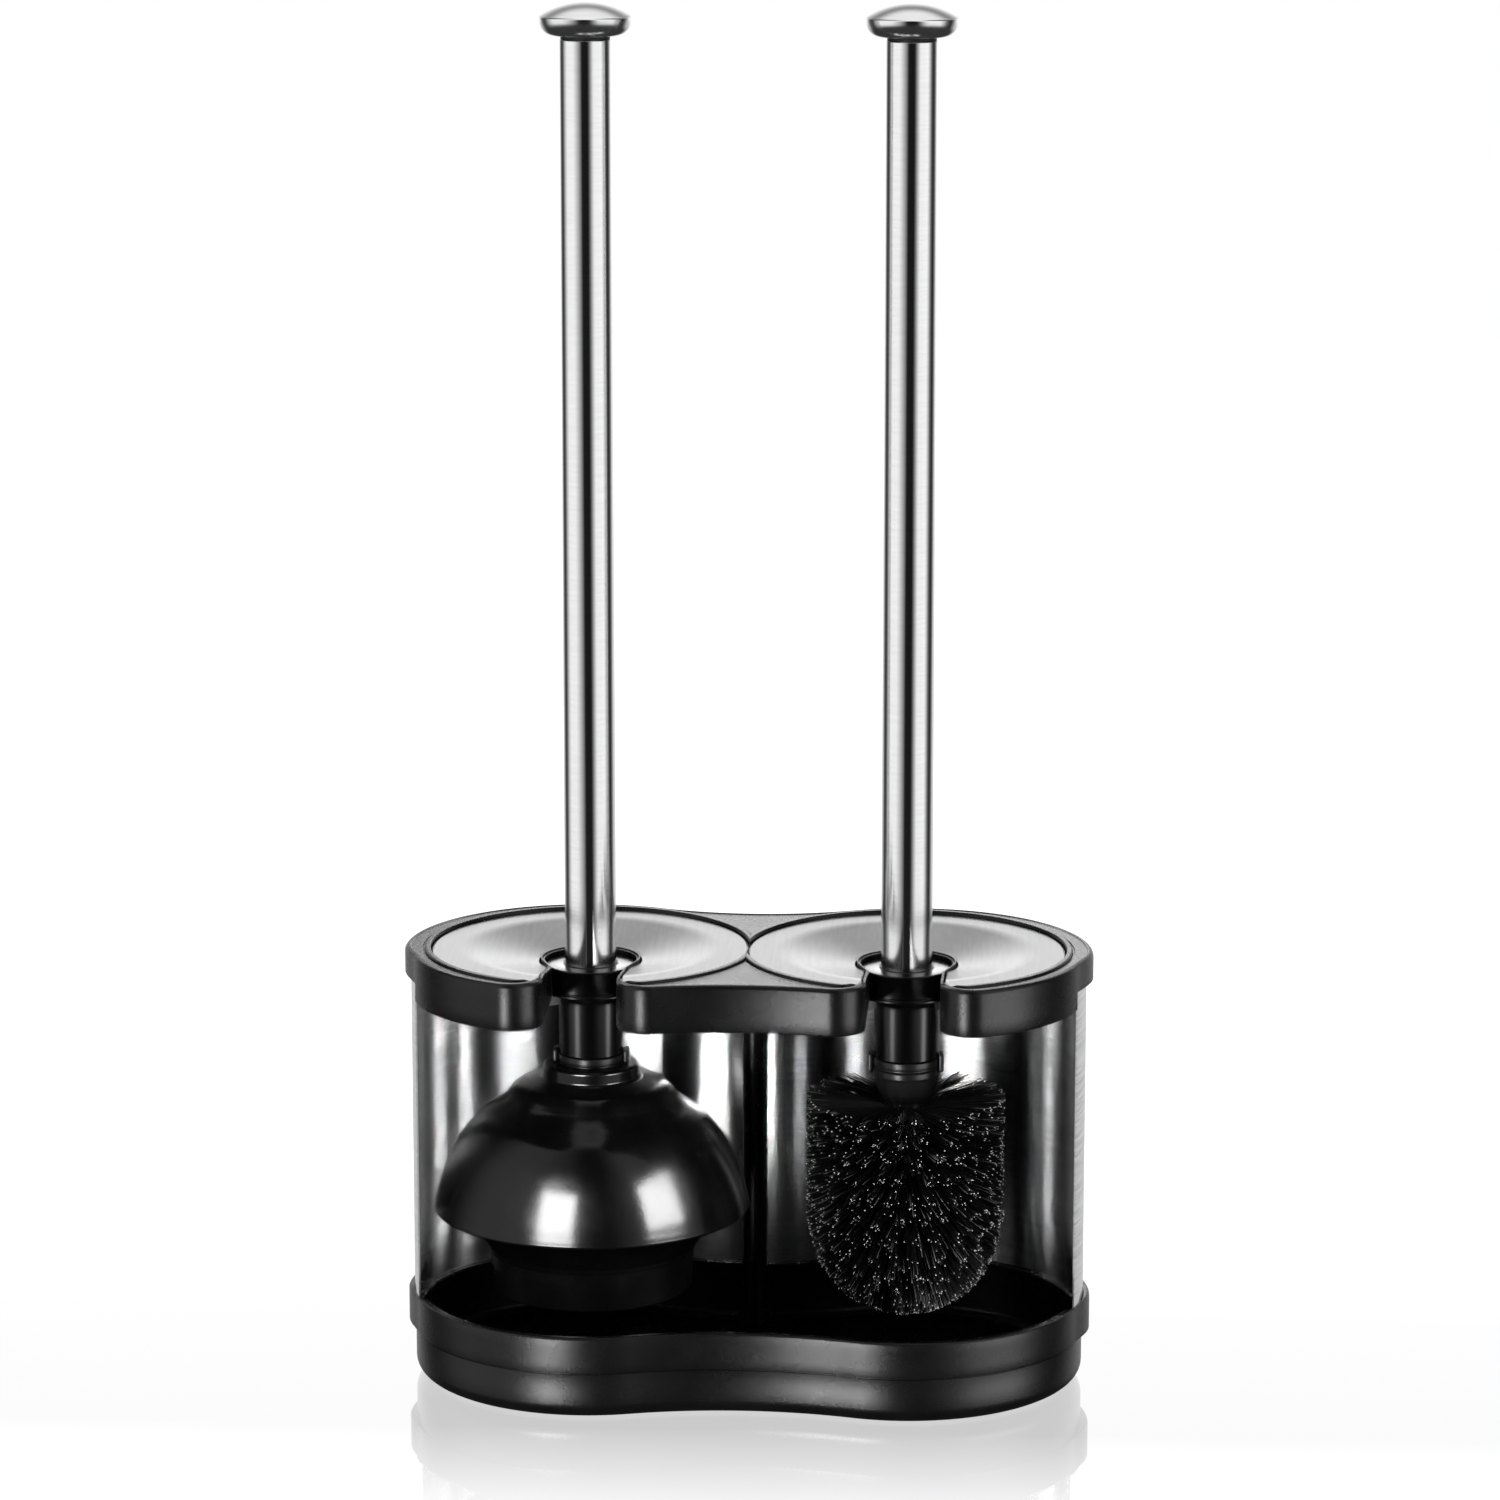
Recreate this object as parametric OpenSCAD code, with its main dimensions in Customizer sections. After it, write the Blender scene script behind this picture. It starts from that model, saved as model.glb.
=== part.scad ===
// Bathroom set: a flanged rubber plunger and a round bowl brush that hang by their
// collars in one steel-walled holder. Millimetres, +Z up, front towards -Y.
// The origin is on the floor, under the middle of the holder.

/* [Holder plan] */
// Distance of each round end's centre from the middle
lobe_x = 64.6; // [63:0.1:66]
// Radius of each round end
lobe_r = 70; // [69:0.1:72]
// Radius of the hollow curve that joins the ends at the back
waist_back_r = 98; // [80:1:140]
// Radius of the hollow curve that joins the ends at the front
waist_front_r = 150; // [110:1:220]
// How far the side and back flanges stand out past the front faces
side_step = 2.6; // [2:0.1:3]
// Front edge of the steel wall and of the flanges, ahead of the middle
wall_front_y = 21.6; // [18:0.1:26]
// Distance of each tool's axis from the middle
tool_x = 61.8; // [61:0.1:62.5]

/* [Tray] */
// Height of the underside over the floor, which is how far the pads stand out
pad_out = 1.2; // [0.8:0.1:2]
// Height of the seam round the outside
seam_z = 19.5; // [16:0.5:24]
// Height of the rim
rim_z = 34; // [30:0.5:40]
// Height of the low inner wall that stands behind the steel
inner_rim_z = 27.5; // [25:0.5:29]
// Thickness of the tray's floor
tray_floor_t = 3; // [2.5:0.1:4]
// Thickness of the tray's front wall
tray_wall_t = 3.4; // [2.5:0.1:5]

/* [Steel] */
// Thickness of the sheet wall
sheet_t = 0.6; // [0.5:0.1:0.8]
// Radius of the dished discs in the lid
disc_r = 61.6; // [60:0.1:61.8]
// Thickness of the discs
disc_t = 0.6; // [0.4:0.1:0.8]

/* [Lid] */
// Height of the lid's top face
lid_z = 172; // [160:0.5:190]
// Height of the front band
band_h = 18.5; // [16:0.5:22]
// Height of the flange at the sides and back
flange_h = 11; // [9:0.5:13]
// Width of the slots that the tool necks pass through
slot_w = 28.3; // [27:0.1:30]
// Radius of the corners where a slot opens at the front
slot_corner_r = 12; // [8:0.5:13]
// Radius of the pocket that a tool's collar sits in
seat_r = 17.9; // [17.7:0.1:18.4]

/* [Handles] */
// Outer radius of the steel tubes
tube_r = 10; // [9.5:0.1:10.5]
// Wall thickness of the steel tubes
tube_t = 0.8; // [0.6:0.1:1.2]
// Height of the tubes' upper ends
tube_top_z = 525; // [440:1:600]
// Radius of the knobs and collars
knob_r = 17.4; // [16:0.1:17.5]
// Radius of the necks under the collars
neck_r = 12.6; // [12:0.1:13]

/* [Plunger cup] */
// Radius of the bell's lip
bell_r = 62.3; // [58:0.1:62.6]
// Height of the bell's lip over the floor
lip_z = 66.5; // [60:0.5:72]
// Height of the inner flange's lower end
flange_bottom_z = 34.5; // [28:0.5:40]
// Thickness of the rubber
rubber_t = 3; // [2.5:0.1:4]

/* [Brush] */
// Radius over the bristles
bristle_r = 39.5; // [34:0.5:42]
// Height of the bristles' top
bristle_top_z = 114; // [108:1:115]
// Height of the bristles' tip over the floor
bristle_tip_z = 25; // [20:1:30]
// Radius of the core that holds the tufts
core_r = 9; // [7:0.5:12]

/* [Hidden] */
$fn = 96;
far = 400;                                // longer than any side of the holder
fuse = 0.02;                              // overlap that lets curved cuts meet cleanly
// Plan outlines: [lobe centre, lobe radius]
flange_plan = [lobe_x, lobe_r];
front_plan = [lobe_x - side_step, lobe_r];
lower_plan = [lobe_x - side_step, lobe_r - 0.4];
sheet_plan = [lobe_x, lobe_r - side_step];
sheet_back_plan = [lobe_x, lobe_r - side_step - sheet_t];
groove_out_plan = [lobe_x, lobe_r - side_step + 0.1];
groove_in_plan = [lobe_x, lobe_r - side_step - sheet_t - 0.1];
inner_wall_t = 2.4;                       // plastic wall behind the steel
side_cavity_plan = [lobe_x, lobe_r - side_step - sheet_t - 0.1 - inner_wall_t];
front_cavity_plan = [lobe_x - side_step, lobe_r - tray_wall_t];
band_back_plan = [lobe_x - side_step, lobe_r - 5];
sheet_bottom_z = seam_z + 2.5;
sheet_top_z = lid_z - 4;
// Tray
edge_r = 6;                               // roundness of the tray's lower edge
tray_floor_z = pad_out + tray_floor_t;
pad_r = 9;
pad_t = 2.2;
pad_pitch = [92, 36];                     // pads' places, to each side of the middle
// Post at the back of the waist
waist_in_y = waist_y(sheet_back_plan, waist_back_r);
post_r = 4.8;                             // half of the post's width, and its round front
post_back_y = waist_in_y - 0.4;
post_y = post_back_y - post_r;
post_socket_h = 7;
screw_r = 1.9;
screw_len = 18;
screw_head_r = 4;
// Lid
plate_t = 6.5;
plate_z = lid_z - plate_t;
skirt_z = lid_z - 14;                     // lower edge of the lid's inner skirt
disc_rim_z = lid_z - 1;                   // ledge that the discs' rims rest on
disc_rim_w = 10.4;
dish_drop = 5;                            // depth of the discs' dish at the keyhole
disc_gap = 0.3;                           // play between a disc and the lid
dish_floor_t = 2.2;                       // plastic under the dish
bead_w = 2.7;
bead_h = 0.9;
notch_r = 20.2;                           // round part of the discs' keyhole
notch_w = 32;                             // straight part of the discs' keyhole
seat_z = lid_z - 18.1;                    // ledge that the collars rest on
seat_t = 3.4;
seat_wall_t = 3.6;
slot_wall_t = 3.2;
// Handles
collar_z = seat_z + 0.1;
collar_h = 11.2;
neck_bottom_z = lid_z - 42.6;
tube_bottom_z = neck_bottom_z + 11;
tube_in_r = tube_r - tube_t;
ring_t = 1.4;
knob_z = tube_top_z + ring_t;
knob_edge_z = knob_z + 7.3;               // sharp edge under the dome
knob_dome_h = 5;
knob_neck_r = 11;
plug_len = 25;
stud_r = 3;
stud_len = 27;
// Quarter-turn coupling between a handle and its head
spigot_r = 9;
spigot_gap = 0.05;
spigot_len = 9;
pin_r = 1.4;
pin_z = neck_bottom_z - 4;
pin_reach = 10.6;
ring_r = 12.9;
socket_top_z = neck_bottom_z - 0.1;
ear_r = 14.9;
ear_w = 7;
ear_top_z = neck_bottom_z + 1.6;
twist = 90;                               // turn that frees a head
// Plunger cup
cup_top_z = neck_bottom_z - 4;
cup_bore_r = 11;
cup_roof_z = 108.5;                       // inside of the cup's roof, where the washer sits
washer_r = 15;
washer_t = 1.6;
cup_screw_r = 2.2;
// Brush core
core_top_z = neck_bottom_z - 8;
core_socket_z = neck_bottom_z - spigot_len - 0.2;   // floor of the core's socket for the twist ring
core_bottom_z = bristle_tip_z + 18;

// Distance from the middle to the centre of a waist curve
function waist_centre(plan, waist_r) = let (d = plan[1] + waist_r) sqrt(d * d - plan[0] * plan[0]);
// How far the outline stands from the middle at its waist
function waist_y(plan, waist_r) = waist_centre(plan, waist_r) - waist_r;
// Radius of a waist curve after the outline moves inwards from the lobes' full radius
function waist_r_for(plan, waist_r) = waist_r + lobe_r - plan[1];

// Upright block with the holder's two-lobed plan; a taper is given by a second, lower radius
module lobed(plan, z, h, taper = 0) {
    rb = waist_r_for(plan, waist_back_r);
    rf = waist_r_for(plan, waist_front_r);
    hb = waist_centre(plan, rb);
    hf = waist_centre(plan, rf);
    tb = plan[0] * rb / (plan[1] + rb);
    tf = plan[0] * rf / (plan[1] + rf);
    yb = hb * plan[1] / (plan[1] + rb);
    yf = hf * plan[1] / (plan[1] + rf);
    translate([0, 0, z]) difference() {
        union() {
            for (side = [-1, 1])
                translate([side * plan[0], 0, 0])
                    cylinder(h = h, r1 = plan[1] - taper, r2 = plan[1]);
            linear_extrude(h) polygon([[-tb, yb], [tb, yb], [tf, -yf], [-tf, -yf]]);
        }
        translate([0, hb, 0]) waist_cut(rb + fuse, h, taper);
        translate([0, -hf, 0]) waist_cut(rf + fuse, h, taper);
    }
}

// Cutter for one waist, a little taller than the block it cuts
module waist_cut(r, h, taper) {
    slope = taper / h;
    translate([0, 0, -1]) cylinder(h = h + 2, r1 = r + taper + slope, r2 = r - slope);
}

// Everything behind the steel wall's front edges, and everything ahead of them
module back_part() { translate([-far / 2, -wall_front_y, -1]) cube([far, far, far]); }
module front_part() { translate([-far / 2, -wall_front_y - far, -1]) cube([far, far, far]); }

// The slot that the sheet wall stands in
module sheet_groove(z, h) {
    intersection() {
        back_part();
        difference() {
            lobed(groove_out_plan, z, h);
            lobed(groove_in_plan, z - 1, h + 2);
        }
    }
}

// Tray ---------------------------------------------------------------------------------------

module tray_outside() {
    lobed([lower_plan[0], lower_plan[1] - edge_r * 0.3], pad_out, edge_r * 0.3, edge_r * 0.7);
    lobed(lower_plan, pad_out + edge_r * 0.3, edge_r * 0.7, edge_r * 0.3);
    lobed(lower_plan, pad_out + edge_r, seam_z - pad_out - edge_r);
    intersection() {
        back_part();
        lobed(flange_plan, seam_z, rim_z - seam_z);
    }
    intersection() {
        front_part();
        lobed(front_plan, seam_z, rim_z - seam_z);
    }
}

module tray_inside() {
    depth = rim_z - tray_floor_z + 1;
    intersection() {
        back_part();
        lobed(side_cavity_plan, tray_floor_z, depth);
    }
    intersection() {
        front_part();
        lobed(front_cavity_plan, tray_floor_z, depth);
    }
    intersection() {
        back_part();
        lobed(groove_in_plan, inner_rim_z, depth);
    }
}

module post_socket(z, h) {
    wall = 2;
    difference() {
        translate([-post_r - wall, post_y - post_r - wall, z])
            cube([2 * (post_r + wall), post_back_y - post_y + post_r + wall, h]);
        translate([0, 0, -0.1]) post_shape(z, h + 0.2);
    }
}

module pads(r, t) {
    for (x = [-1, 1], y = [-1, 1])
        translate([x * pad_pitch[0], y * pad_pitch[1], 0]) cylinder(h = t, r = r);
}

module tray() {
    color("#1c1c1e") difference() {
        union() {
            difference() {
                tray_outside();
                tray_inside();
                sheet_groove(sheet_bottom_z, rim_z);
            }
            post_socket(tray_floor_z - 0.5, post_socket_h);
        }
        pads(pad_r + 0.1, pad_t);
        post_shape(tray_floor_z, far);
        translate([0, post_y, 0]) {
            cylinder(h = far / 10, r = screw_r + 0.2);
            cylinder(h = pad_out + 1.6, r = screw_head_r + 0.3);
        }
    }
}

module foot_pads() { color("#111112") pads(pad_r, pad_t); }

// Steel wall and post ------------------------------------------------------------------------

module steel_wall() {
    color("silver") intersection() {
        back_part();
        difference() {
            lobed(sheet_plan, sheet_bottom_z, sheet_top_z - sheet_bottom_z);
            lobed(sheet_back_plan, sheet_bottom_z - 1, sheet_top_z - sheet_bottom_z + 2);
        }
    }
}

// Plan of the post: square at the back, round at the front
module post_shape(z, h) {
    translate([0, post_y, z]) cylinder(h = h, r = post_r);
    translate([-post_r, post_y, z]) cube([2 * post_r, post_r, h]);
}

module center_post() {
    color("#161617") difference() {
        post_shape(tray_floor_z, plate_z - tray_floor_z);
        translate([0, post_y, 0]) cylinder(h = pad_out + screw_len + 2, r = screw_r + 0.05);
    }
}

module post_screw() {
    color("gray") translate([0, post_y, pad_out]) {
        cylinder(h = 1.5, r = screw_head_r);
        cylinder(h = screw_len, r = screw_r);
    }
}

// Lid ----------------------------------------------------------------------------------------

// Straight channel from a tool's axis out past the lid's front
module channel(w, z, h) { translate([-w / 2, -far / 4, z]) cube([w, far / 4, h]); }

// What the slot takes from the lid: the collar's pocket, the channel and its round corners
module keyhole_cut() {
    translate([0, 0, seat_z]) cylinder(h = far, r = seat_r);
    cylinder(h = far, r = slot_w / 2);
    channel(slot_w, 0, far);
    corner_y = front_y_at(tool_x) + slot_corner_r;
    for (side = [-1, 1])
        mirror([side < 0 ? 1 : 0, 0, 0]) difference() {
            translate([slot_w / 2 - 1, -far / 4, 0])
                cube([slot_corner_r + 1, far / 4 + corner_y, far]);
            translate([slot_w / 2 + slot_corner_r, corner_y, -1])
                cylinder(h = far + 2, r = slot_corner_r);
            translate([slot_w / 2 + slot_corner_r - fuse, -far / 4, -1]) cube([far, far, far]);
        }
}

// Front face of the lid, level with the outside corner of a slot
function front_y_at(x) =
    let (dx = x - front_plan[0] + slot_w / 2 + slot_corner_r)
    -sqrt(front_plan[1] * front_plan[1] - dx * dx);

module lid_outside() {
    intersection() {
        back_part();
        lobed(flange_plan, lid_z - flange_h, flange_h);
    }
    intersection() {
        front_part();
        lobed(front_plan, lid_z - band_h, band_h);
    }
    intersection() {
        back_part();
        lobed(groove_in_plan, skirt_z, lid_z - skirt_z);
    }
}

module lid_inside() {
    intersection() {
        back_part();
        lobed(side_cavity_plan, lid_z - band_h - 1, band_h + 1 - plate_t);
    }
    intersection() {
        front_part();
        lobed(band_back_plan, lid_z - band_h - 1, band_h + 1 - plate_t);
    }
}

// Walls under the plate, round each slot and each collar's pocket
module keyhole_walls() {
    for (side = [-1, 1])
        translate([side * tool_x, 0, 0]) {
            translate([0, 0, seat_z - seat_t])
                cylinder(h = plate_z - seat_z + seat_t, r = seat_r + seat_wall_t);
            translate([0, 0, lid_z - band_h]) intersection() {
                channel(slot_w + 2 * slot_wall_t, 0, band_h - plate_t);
                translate([-side * tool_x, 0, -lid_z + band_h])
                    lobed(band_back_plan, lid_z - band_h, band_h);
            }
        }
}

// Raised discs that become the beads once the steel discs' recesses are cut in them
module bead_blanks() {
    for (side = [-1, 1])
        translate([side * tool_x, 0, disc_rim_z])
            cylinder(h = lid_z - disc_rim_z + bead_h, r = disc_r + disc_gap + bead_w);
}

// Half section of the dish out to a radius, raised by dz: a flat rim, a cone and a flat middle
function dish_line(r, dz) = let (edge = disc_r - disc_rim_w) [
    [0, dz - dish_drop], [notch_r, dz - dish_drop], [edge * 0.55, dz - dish_drop * 0.86],
    [edge * 0.7, dz - dish_drop * 0.58], [edge * 0.86, dz - dish_drop * 0.26],
    [edge * 0.94, dz - dish_drop * 0.09], [edge, dz], [r, dz]];

// Solid of revolution between the dish line at two heights
module dish_layer(r, dz, t) {
    rotate_extrude() polygon(concat(dish_line(r, dz), reversed(dish_line(r, dz + t))));
}

function reversed(list) = [for (i = [len(list) - 1 : -1 : 0]) list[i]];

// Recesses for the steel discs, with the dish's shape
module disc_recesses() {
    r = disc_r + disc_gap;
    for (side = [-1, 1])
        translate([side * tool_x, 0, disc_rim_z]) {
            cylinder(h = far, r = r);
            dish_layer(disc_r - 1, -disc_gap, dish_drop + 1);
        }
}

// Plastic that carries each dish under the lid's plate
module dish_floors() {
    for (side = [-1, 1])
        translate([side * tool_x, 0, disc_rim_z])
            dish_layer(disc_r - disc_rim_w + 2, -disc_gap - dish_floor_t, dish_floor_t);
}

// Raised edge inside each disc's notch, which goes down into the dish with the disc
module keyhole_bead() {
    for (side = [-1, 1])
        translate([side * tool_x, 0, disc_rim_z]) intersection() {
            union() {
                translate([0, 0, -far / 2]) cylinder(h = far, r = notch_r - disc_gap);
                channel(notch_w - 2 * disc_gap, -far / 2, far);
            }
            dish_layer(disc_r + 1, -disc_gap - 1, 1 + disc_gap + lid_z - disc_rim_z + bead_h);
        }
}

module lid_frame() {
    color("#1c1c1e") difference() {
        union() {
            difference() {
                union() {
                    lid_outside();
                    bead_blanks();
                }
                lid_inside();
                sheet_groove(lid_z - band_h - 1, band_h + 1 - (lid_z - sheet_top_z) + 0.2);
                disc_recesses();
            }
            dish_floors();
            keyhole_walls();
            keyhole_bead();
            post_socket(plate_z - post_socket_h, post_socket_h + 0.5);
        }
        for (side = [-1, 1])
            translate([side * tool_x, 0, 0]) keyhole_cut();
        center_post_top();
    }
}

// Leaves the post's own place free in the lid
module center_post_top() { post_shape(plate_z - 20, 20); }

// Dished disc with a keyhole notch, cut open towards the front
module steel_disc(x) {
    color("gainsboro") translate([x, 0, disc_rim_z]) difference() {
        dish_layer(disc_r, 0, disc_t);
        translate([0, 0, -far / 2]) cylinder(h = far, r = notch_r);
        channel(notch_w, -far / 2, far);
    }
}

module disc_left() { steel_disc(-tool_x); }
module disc_right() { steel_disc(tool_x); }

// Handles ------------------------------------------------------------------------------------

module knob(x) {
    color("silver") translate([x, 0, knob_z]) difference() {
        rotate_extrude() polygon([
            [0, 0], [knob_neck_r, 0], [knob_neck_r + 3.2, 1.2], [knob_r - 0.9, 2.7], [knob_r, 4.1],
            [knob_r, knob_edge_z - knob_z], [knob_r * 0.87, knob_edge_z - knob_z + knob_dome_h * 0.36],
            [knob_r * 0.7, knob_edge_z - knob_z + knob_dome_h * 0.66],
            [knob_r * 0.45, knob_edge_z - knob_z + knob_dome_h * 0.9],
            [knob_r * 0.2, knob_edge_z - knob_z + knob_dome_h * 0.985],
            [0, knob_edge_z - knob_z + knob_dome_h]]);
        translate([0, 0, -1]) cylinder(h = stud_len - plug_len + 5, r = stud_r);
    }
}

module knob_stud(x) {
    color("dimgray") translate([x, 0, tube_top_z + stud_len - plug_len + 3.4 - stud_len])
        cylinder(h = stud_len, r = stud_r);
}

module knob_ring(x) {
    color("#111112") translate([x, 0, tube_top_z]) difference() {
        cylinder(h = ring_t, r = tube_r - 0.6);
        translate([0, 0, -1]) cylinder(h = ring_t + 2, r = stud_r);
    }
}

module tube_plug(x) {
    color("#2a2a2c") translate([x, 0, tube_top_z - plug_len]) difference() {
        cylinder(h = plug_len, r = tube_in_r);
        translate([0, 0, -1]) cylinder(h = plug_len + 2, r = stud_r);
    }
}

module handle_tube(x) {
    color("silver") translate([x, 0, tube_bottom_z]) difference() {
        cylinder(h = tube_top_z - tube_bottom_z, r = tube_r);
        translate([0, 0, -1]) cylinder(h = tube_top_z - tube_bottom_z + 2, r = tube_in_r);
    }
}

// Collar, neck and spigot in one moulding; the tube stands in its bore
module adapter(x) {
    color("#1c1c1e") translate([x, 0, 0]) difference() {
        union() {
            translate([0, 0, collar_z]) cylinder(h = collar_h, r = knob_r);
            translate([0, 0, neck_bottom_z]) cylinder(h = collar_z - neck_bottom_z + 1, r = neck_r);
            translate([0, 0, neck_bottom_z - spigot_len]) cylinder(h = spigot_len + 1, r = spigot_r);
            translate([-pin_reach, 0, pin_z]) rotate([0, 90, 0]) cylinder(h = 2 * pin_reach, r = pin_r);
        }
        translate([0, 0, tube_bottom_z]) cylinder(h = far, r = tube_r);
    }
}

module plunger_knob() { knob(-tool_x); }
module plunger_knob_stud() { knob_stud(-tool_x); }
module plunger_knob_ring() { knob_ring(-tool_x); }
module plunger_tube_plug() { tube_plug(-tool_x); }
module plunger_tube() { handle_tube(-tool_x); }
module plunger_adapter() { adapter(-tool_x); }
module brush_knob() { knob(tool_x); }
module brush_knob_stud() { knob_stud(tool_x); }
module brush_knob_ring() { knob_ring(tool_x); }
module brush_tube_plug() { tube_plug(tool_x); }
module brush_tube() { handle_tube(tool_x); }
module brush_adapter() { adapter(tool_x); }

// Quarter-turn coupling ----------------------------------------------------------------------

// Bore, and the two L-shaped tracks that the adapter's pins run in
module coupling_cut() {
    track_r = pin_reach + 0.3;
    track_h = 2 * pin_r + 0.4;
    translate([0, 0, neck_bottom_z - spigot_len - 0.3]) cylinder(h = 40, r = spigot_r + spigot_gap);
    for (turn = [0, 180])
        rotate([0, 0, turn]) {
            translate([0, 0, pin_z - track_h / 2]) rotate([0, 0, -twist - 10])
                rotate_extrude(angle = twist + 20) square([track_r, track_h]);
            rotate([0, 0, -twist]) translate([0, -pin_r - 0.3, pin_z - track_h / 2])
                cube([track_r, 2 * pin_r + 0.6, 20]);
        }
}

// Two rounded ears, from a given height up; under the ring they stand clear of what it holds
module ears(bottom_z) {
    h = ear_top_z - bottom_z;
    for (side = [-1, 1])
        intersection() {
            translate([side > 0 ? ring_r - 3 : -ring_r - 3, -ear_w / 2, bottom_z])
                cube([6, ear_w, h]);
            difference() {
                translate([0, 0, bottom_z]) cylinder(h = h, r = ear_r);
                translate([0, 0, bottom_z - 1]) cylinder(h = h + 2, r = neck_r + 0.15);
                translate([0, 0, cup_top_z - 10]) cylinder(h = 10, r = ring_r + 0.15);
            }
        }
}

// Twist ring with its two ears; a head hangs from the ring's stem
module socket(x, stem_r, bottom_z, ear_bottom_z) {
    color("#232325") translate([x, 0, 0]) difference() {
        union() {
            translate([0, 0, cup_top_z]) cylinder(h = socket_top_z - cup_top_z, r = ring_r);
            translate([0, 0, bottom_z]) cylinder(h = cup_top_z - bottom_z + 1, r = stem_r);
            ears(ear_bottom_z);
        }
        coupling_cut();
    }
}

module plunger_socket() {
    color("#232325") difference() {
        socket(-tool_x, cup_bore_r, cup_roof_z, cup_top_z);
        translate([-tool_x, 0, 0]) cylinder(h = far, r = cup_screw_r);
    }
}

module brush_socket() {
    color("#232325") difference() {
        socket(tool_x, cup_bore_r, core_socket_z, neck_bottom_z - 6);
        translate([tool_x, 0, 0]) cylinder(h = core_socket_z + 0.4, r = spigot_r);
    }
}

// Plunger head -------------------------------------------------------------------------------

// Half section of the bell and its inner flange, out from the axis
module cup_section() {
    shift = bell_r - 62.3;
    roof = cup_roof_z;
    polygon([
        [cup_bore_r, cup_top_z], [17.5, cup_top_z], [18.9, cup_top_z - 1.2], [18.9, cup_top_z - 4.6],
        [25, 118.2], [30.7, 116.2], [34.3, 112.6], [38, 108.2], [43, 105], [51.4 + shift, 95.8],
        [57.9 + shift, 84.4], [61.6 + shift, 72.4], [bell_r, lip_z + 1], [bell_r - 0.8, lip_z],
        [bell_r - 2.6, lip_z + 0.3], [bell_r - 4.6, lip_z + 4.4], [50, lip_z - 4], [42, lip_z - 13.5],
        [40.6, lip_z - 16], [39.2, flange_bottom_z + 0.6], [38.6, flange_bottom_z],
        [39.2 - rubber_t, flange_bottom_z], [40.4 - rubber_t, lip_z - 17], [49.5 - rubber_t, lip_z - 4],
        [bell_r - 6 - rubber_t, lip_z + 7], [57.4 + shift - rubber_t, 84], [51 + shift - rubber_t, 94.5],
        [43 - rubber_t, 102.5], [37.5 - rubber_t, 106], [washer_r + 6, roof - 2], [washer_r + 3, roof],
        [cup_bore_r, roof]]);
}

module plunger_cup() {
    color("#141414") translate([-tool_x, 0, 0]) rotate_extrude() cup_section();
}

module plunger_cup_washer() {
    color("silver") translate([-tool_x, 0, cup_roof_z - washer_t]) difference() {
        cylinder(h = washer_t, r = washer_r);
        translate([0, 0, -1]) cylinder(h = washer_t + 2, r = cup_screw_r);
    }
}

module plunger_cup_screw() {
    color("gray") translate([-tool_x, 0, cup_roof_z - washer_t]) {
        translate([0, 0, -2.6]) cylinder(h = 2.6, r = 4.2);
        translate([0, 0, -1]) cylinder(h = 7, r = cup_screw_r);
    }
}

// Brush head ---------------------------------------------------------------------------------

module brush_core() {
    color("#1c1c1e") translate([tool_x, 0, 0]) difference() {
        rotate_extrude() polygon([
            [0, core_bottom_z], [core_r * 0.6, core_bottom_z + 1], [core_r, core_bottom_z + 6],
            [core_r, bristle_top_z - 2], [10.6, bristle_top_z + 1], [12.3, core_top_z + 0.4],
            [12.9, core_top_z + 1], [12.9, cup_top_z - 0.6], [12.3, cup_top_z], [0, cup_top_z]]);
        translate([0, 0, core_socket_z]) cylinder(h = 40, r = cup_bore_r);
    }
}

module brush_bristles() {
    low = bristle_tip_z;
    color("#101010") translate([tool_x, 0, 0]) rotate_extrude() polygon([
        [0, low], [bristle_r * 0.3, low + 2], [bristle_r * 0.6, low + 9], [bristle_r * 0.82, low + 19],
        [bristle_r * 0.94, low + 31], [bristle_r, low + 46], [bristle_r, bristle_top_z - 4],
        [bristle_r - 1.5, bristle_top_z], [core_r + 1, bristle_top_z - 2], [core_r, bristle_top_z - 2],
        [core_r, core_bottom_z + 6], [core_r * 0.6, core_bottom_z + 1], [0, core_bottom_z]]);
}

tray();
foot_pads();
steel_wall();
center_post();
post_screw();
lid_frame();
disc_left();
disc_right();
plunger_knob();
plunger_knob_stud();
plunger_knob_ring();
plunger_tube_plug();
plunger_tube();
plunger_adapter();
plunger_socket();
plunger_cup();
plunger_cup_washer();
plunger_cup_screw();
brush_knob();
brush_knob_stud();
brush_knob_ring();
brush_tube_plug();
brush_tube();
brush_adapter();
brush_socket();
brush_core();
brush_bristles();
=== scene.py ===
from itertools import product
from math import asin, atan2, ceil, cos, hypot, pi, radians, sin, sqrt

import bmesh
import bpy
import numpy as np
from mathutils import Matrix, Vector
from mathutils.geometry import delaunay_2d_cdt


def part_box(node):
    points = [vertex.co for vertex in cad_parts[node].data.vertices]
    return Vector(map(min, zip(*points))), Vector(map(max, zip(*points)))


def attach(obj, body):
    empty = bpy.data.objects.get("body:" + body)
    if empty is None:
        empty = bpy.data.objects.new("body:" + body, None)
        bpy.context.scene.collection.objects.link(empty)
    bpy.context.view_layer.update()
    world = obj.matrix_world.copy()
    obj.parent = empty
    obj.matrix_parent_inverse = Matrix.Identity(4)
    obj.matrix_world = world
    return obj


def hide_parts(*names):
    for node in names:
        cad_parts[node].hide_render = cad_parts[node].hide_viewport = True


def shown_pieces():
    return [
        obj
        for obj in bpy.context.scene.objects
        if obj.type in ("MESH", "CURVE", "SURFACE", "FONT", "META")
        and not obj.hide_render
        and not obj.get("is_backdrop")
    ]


# A flanged plunger and a bowl brush that hang in one steel-walled holder.
# Lengths are in millimetres until a mesh is made; the origin is on the floor under the middle.

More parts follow.
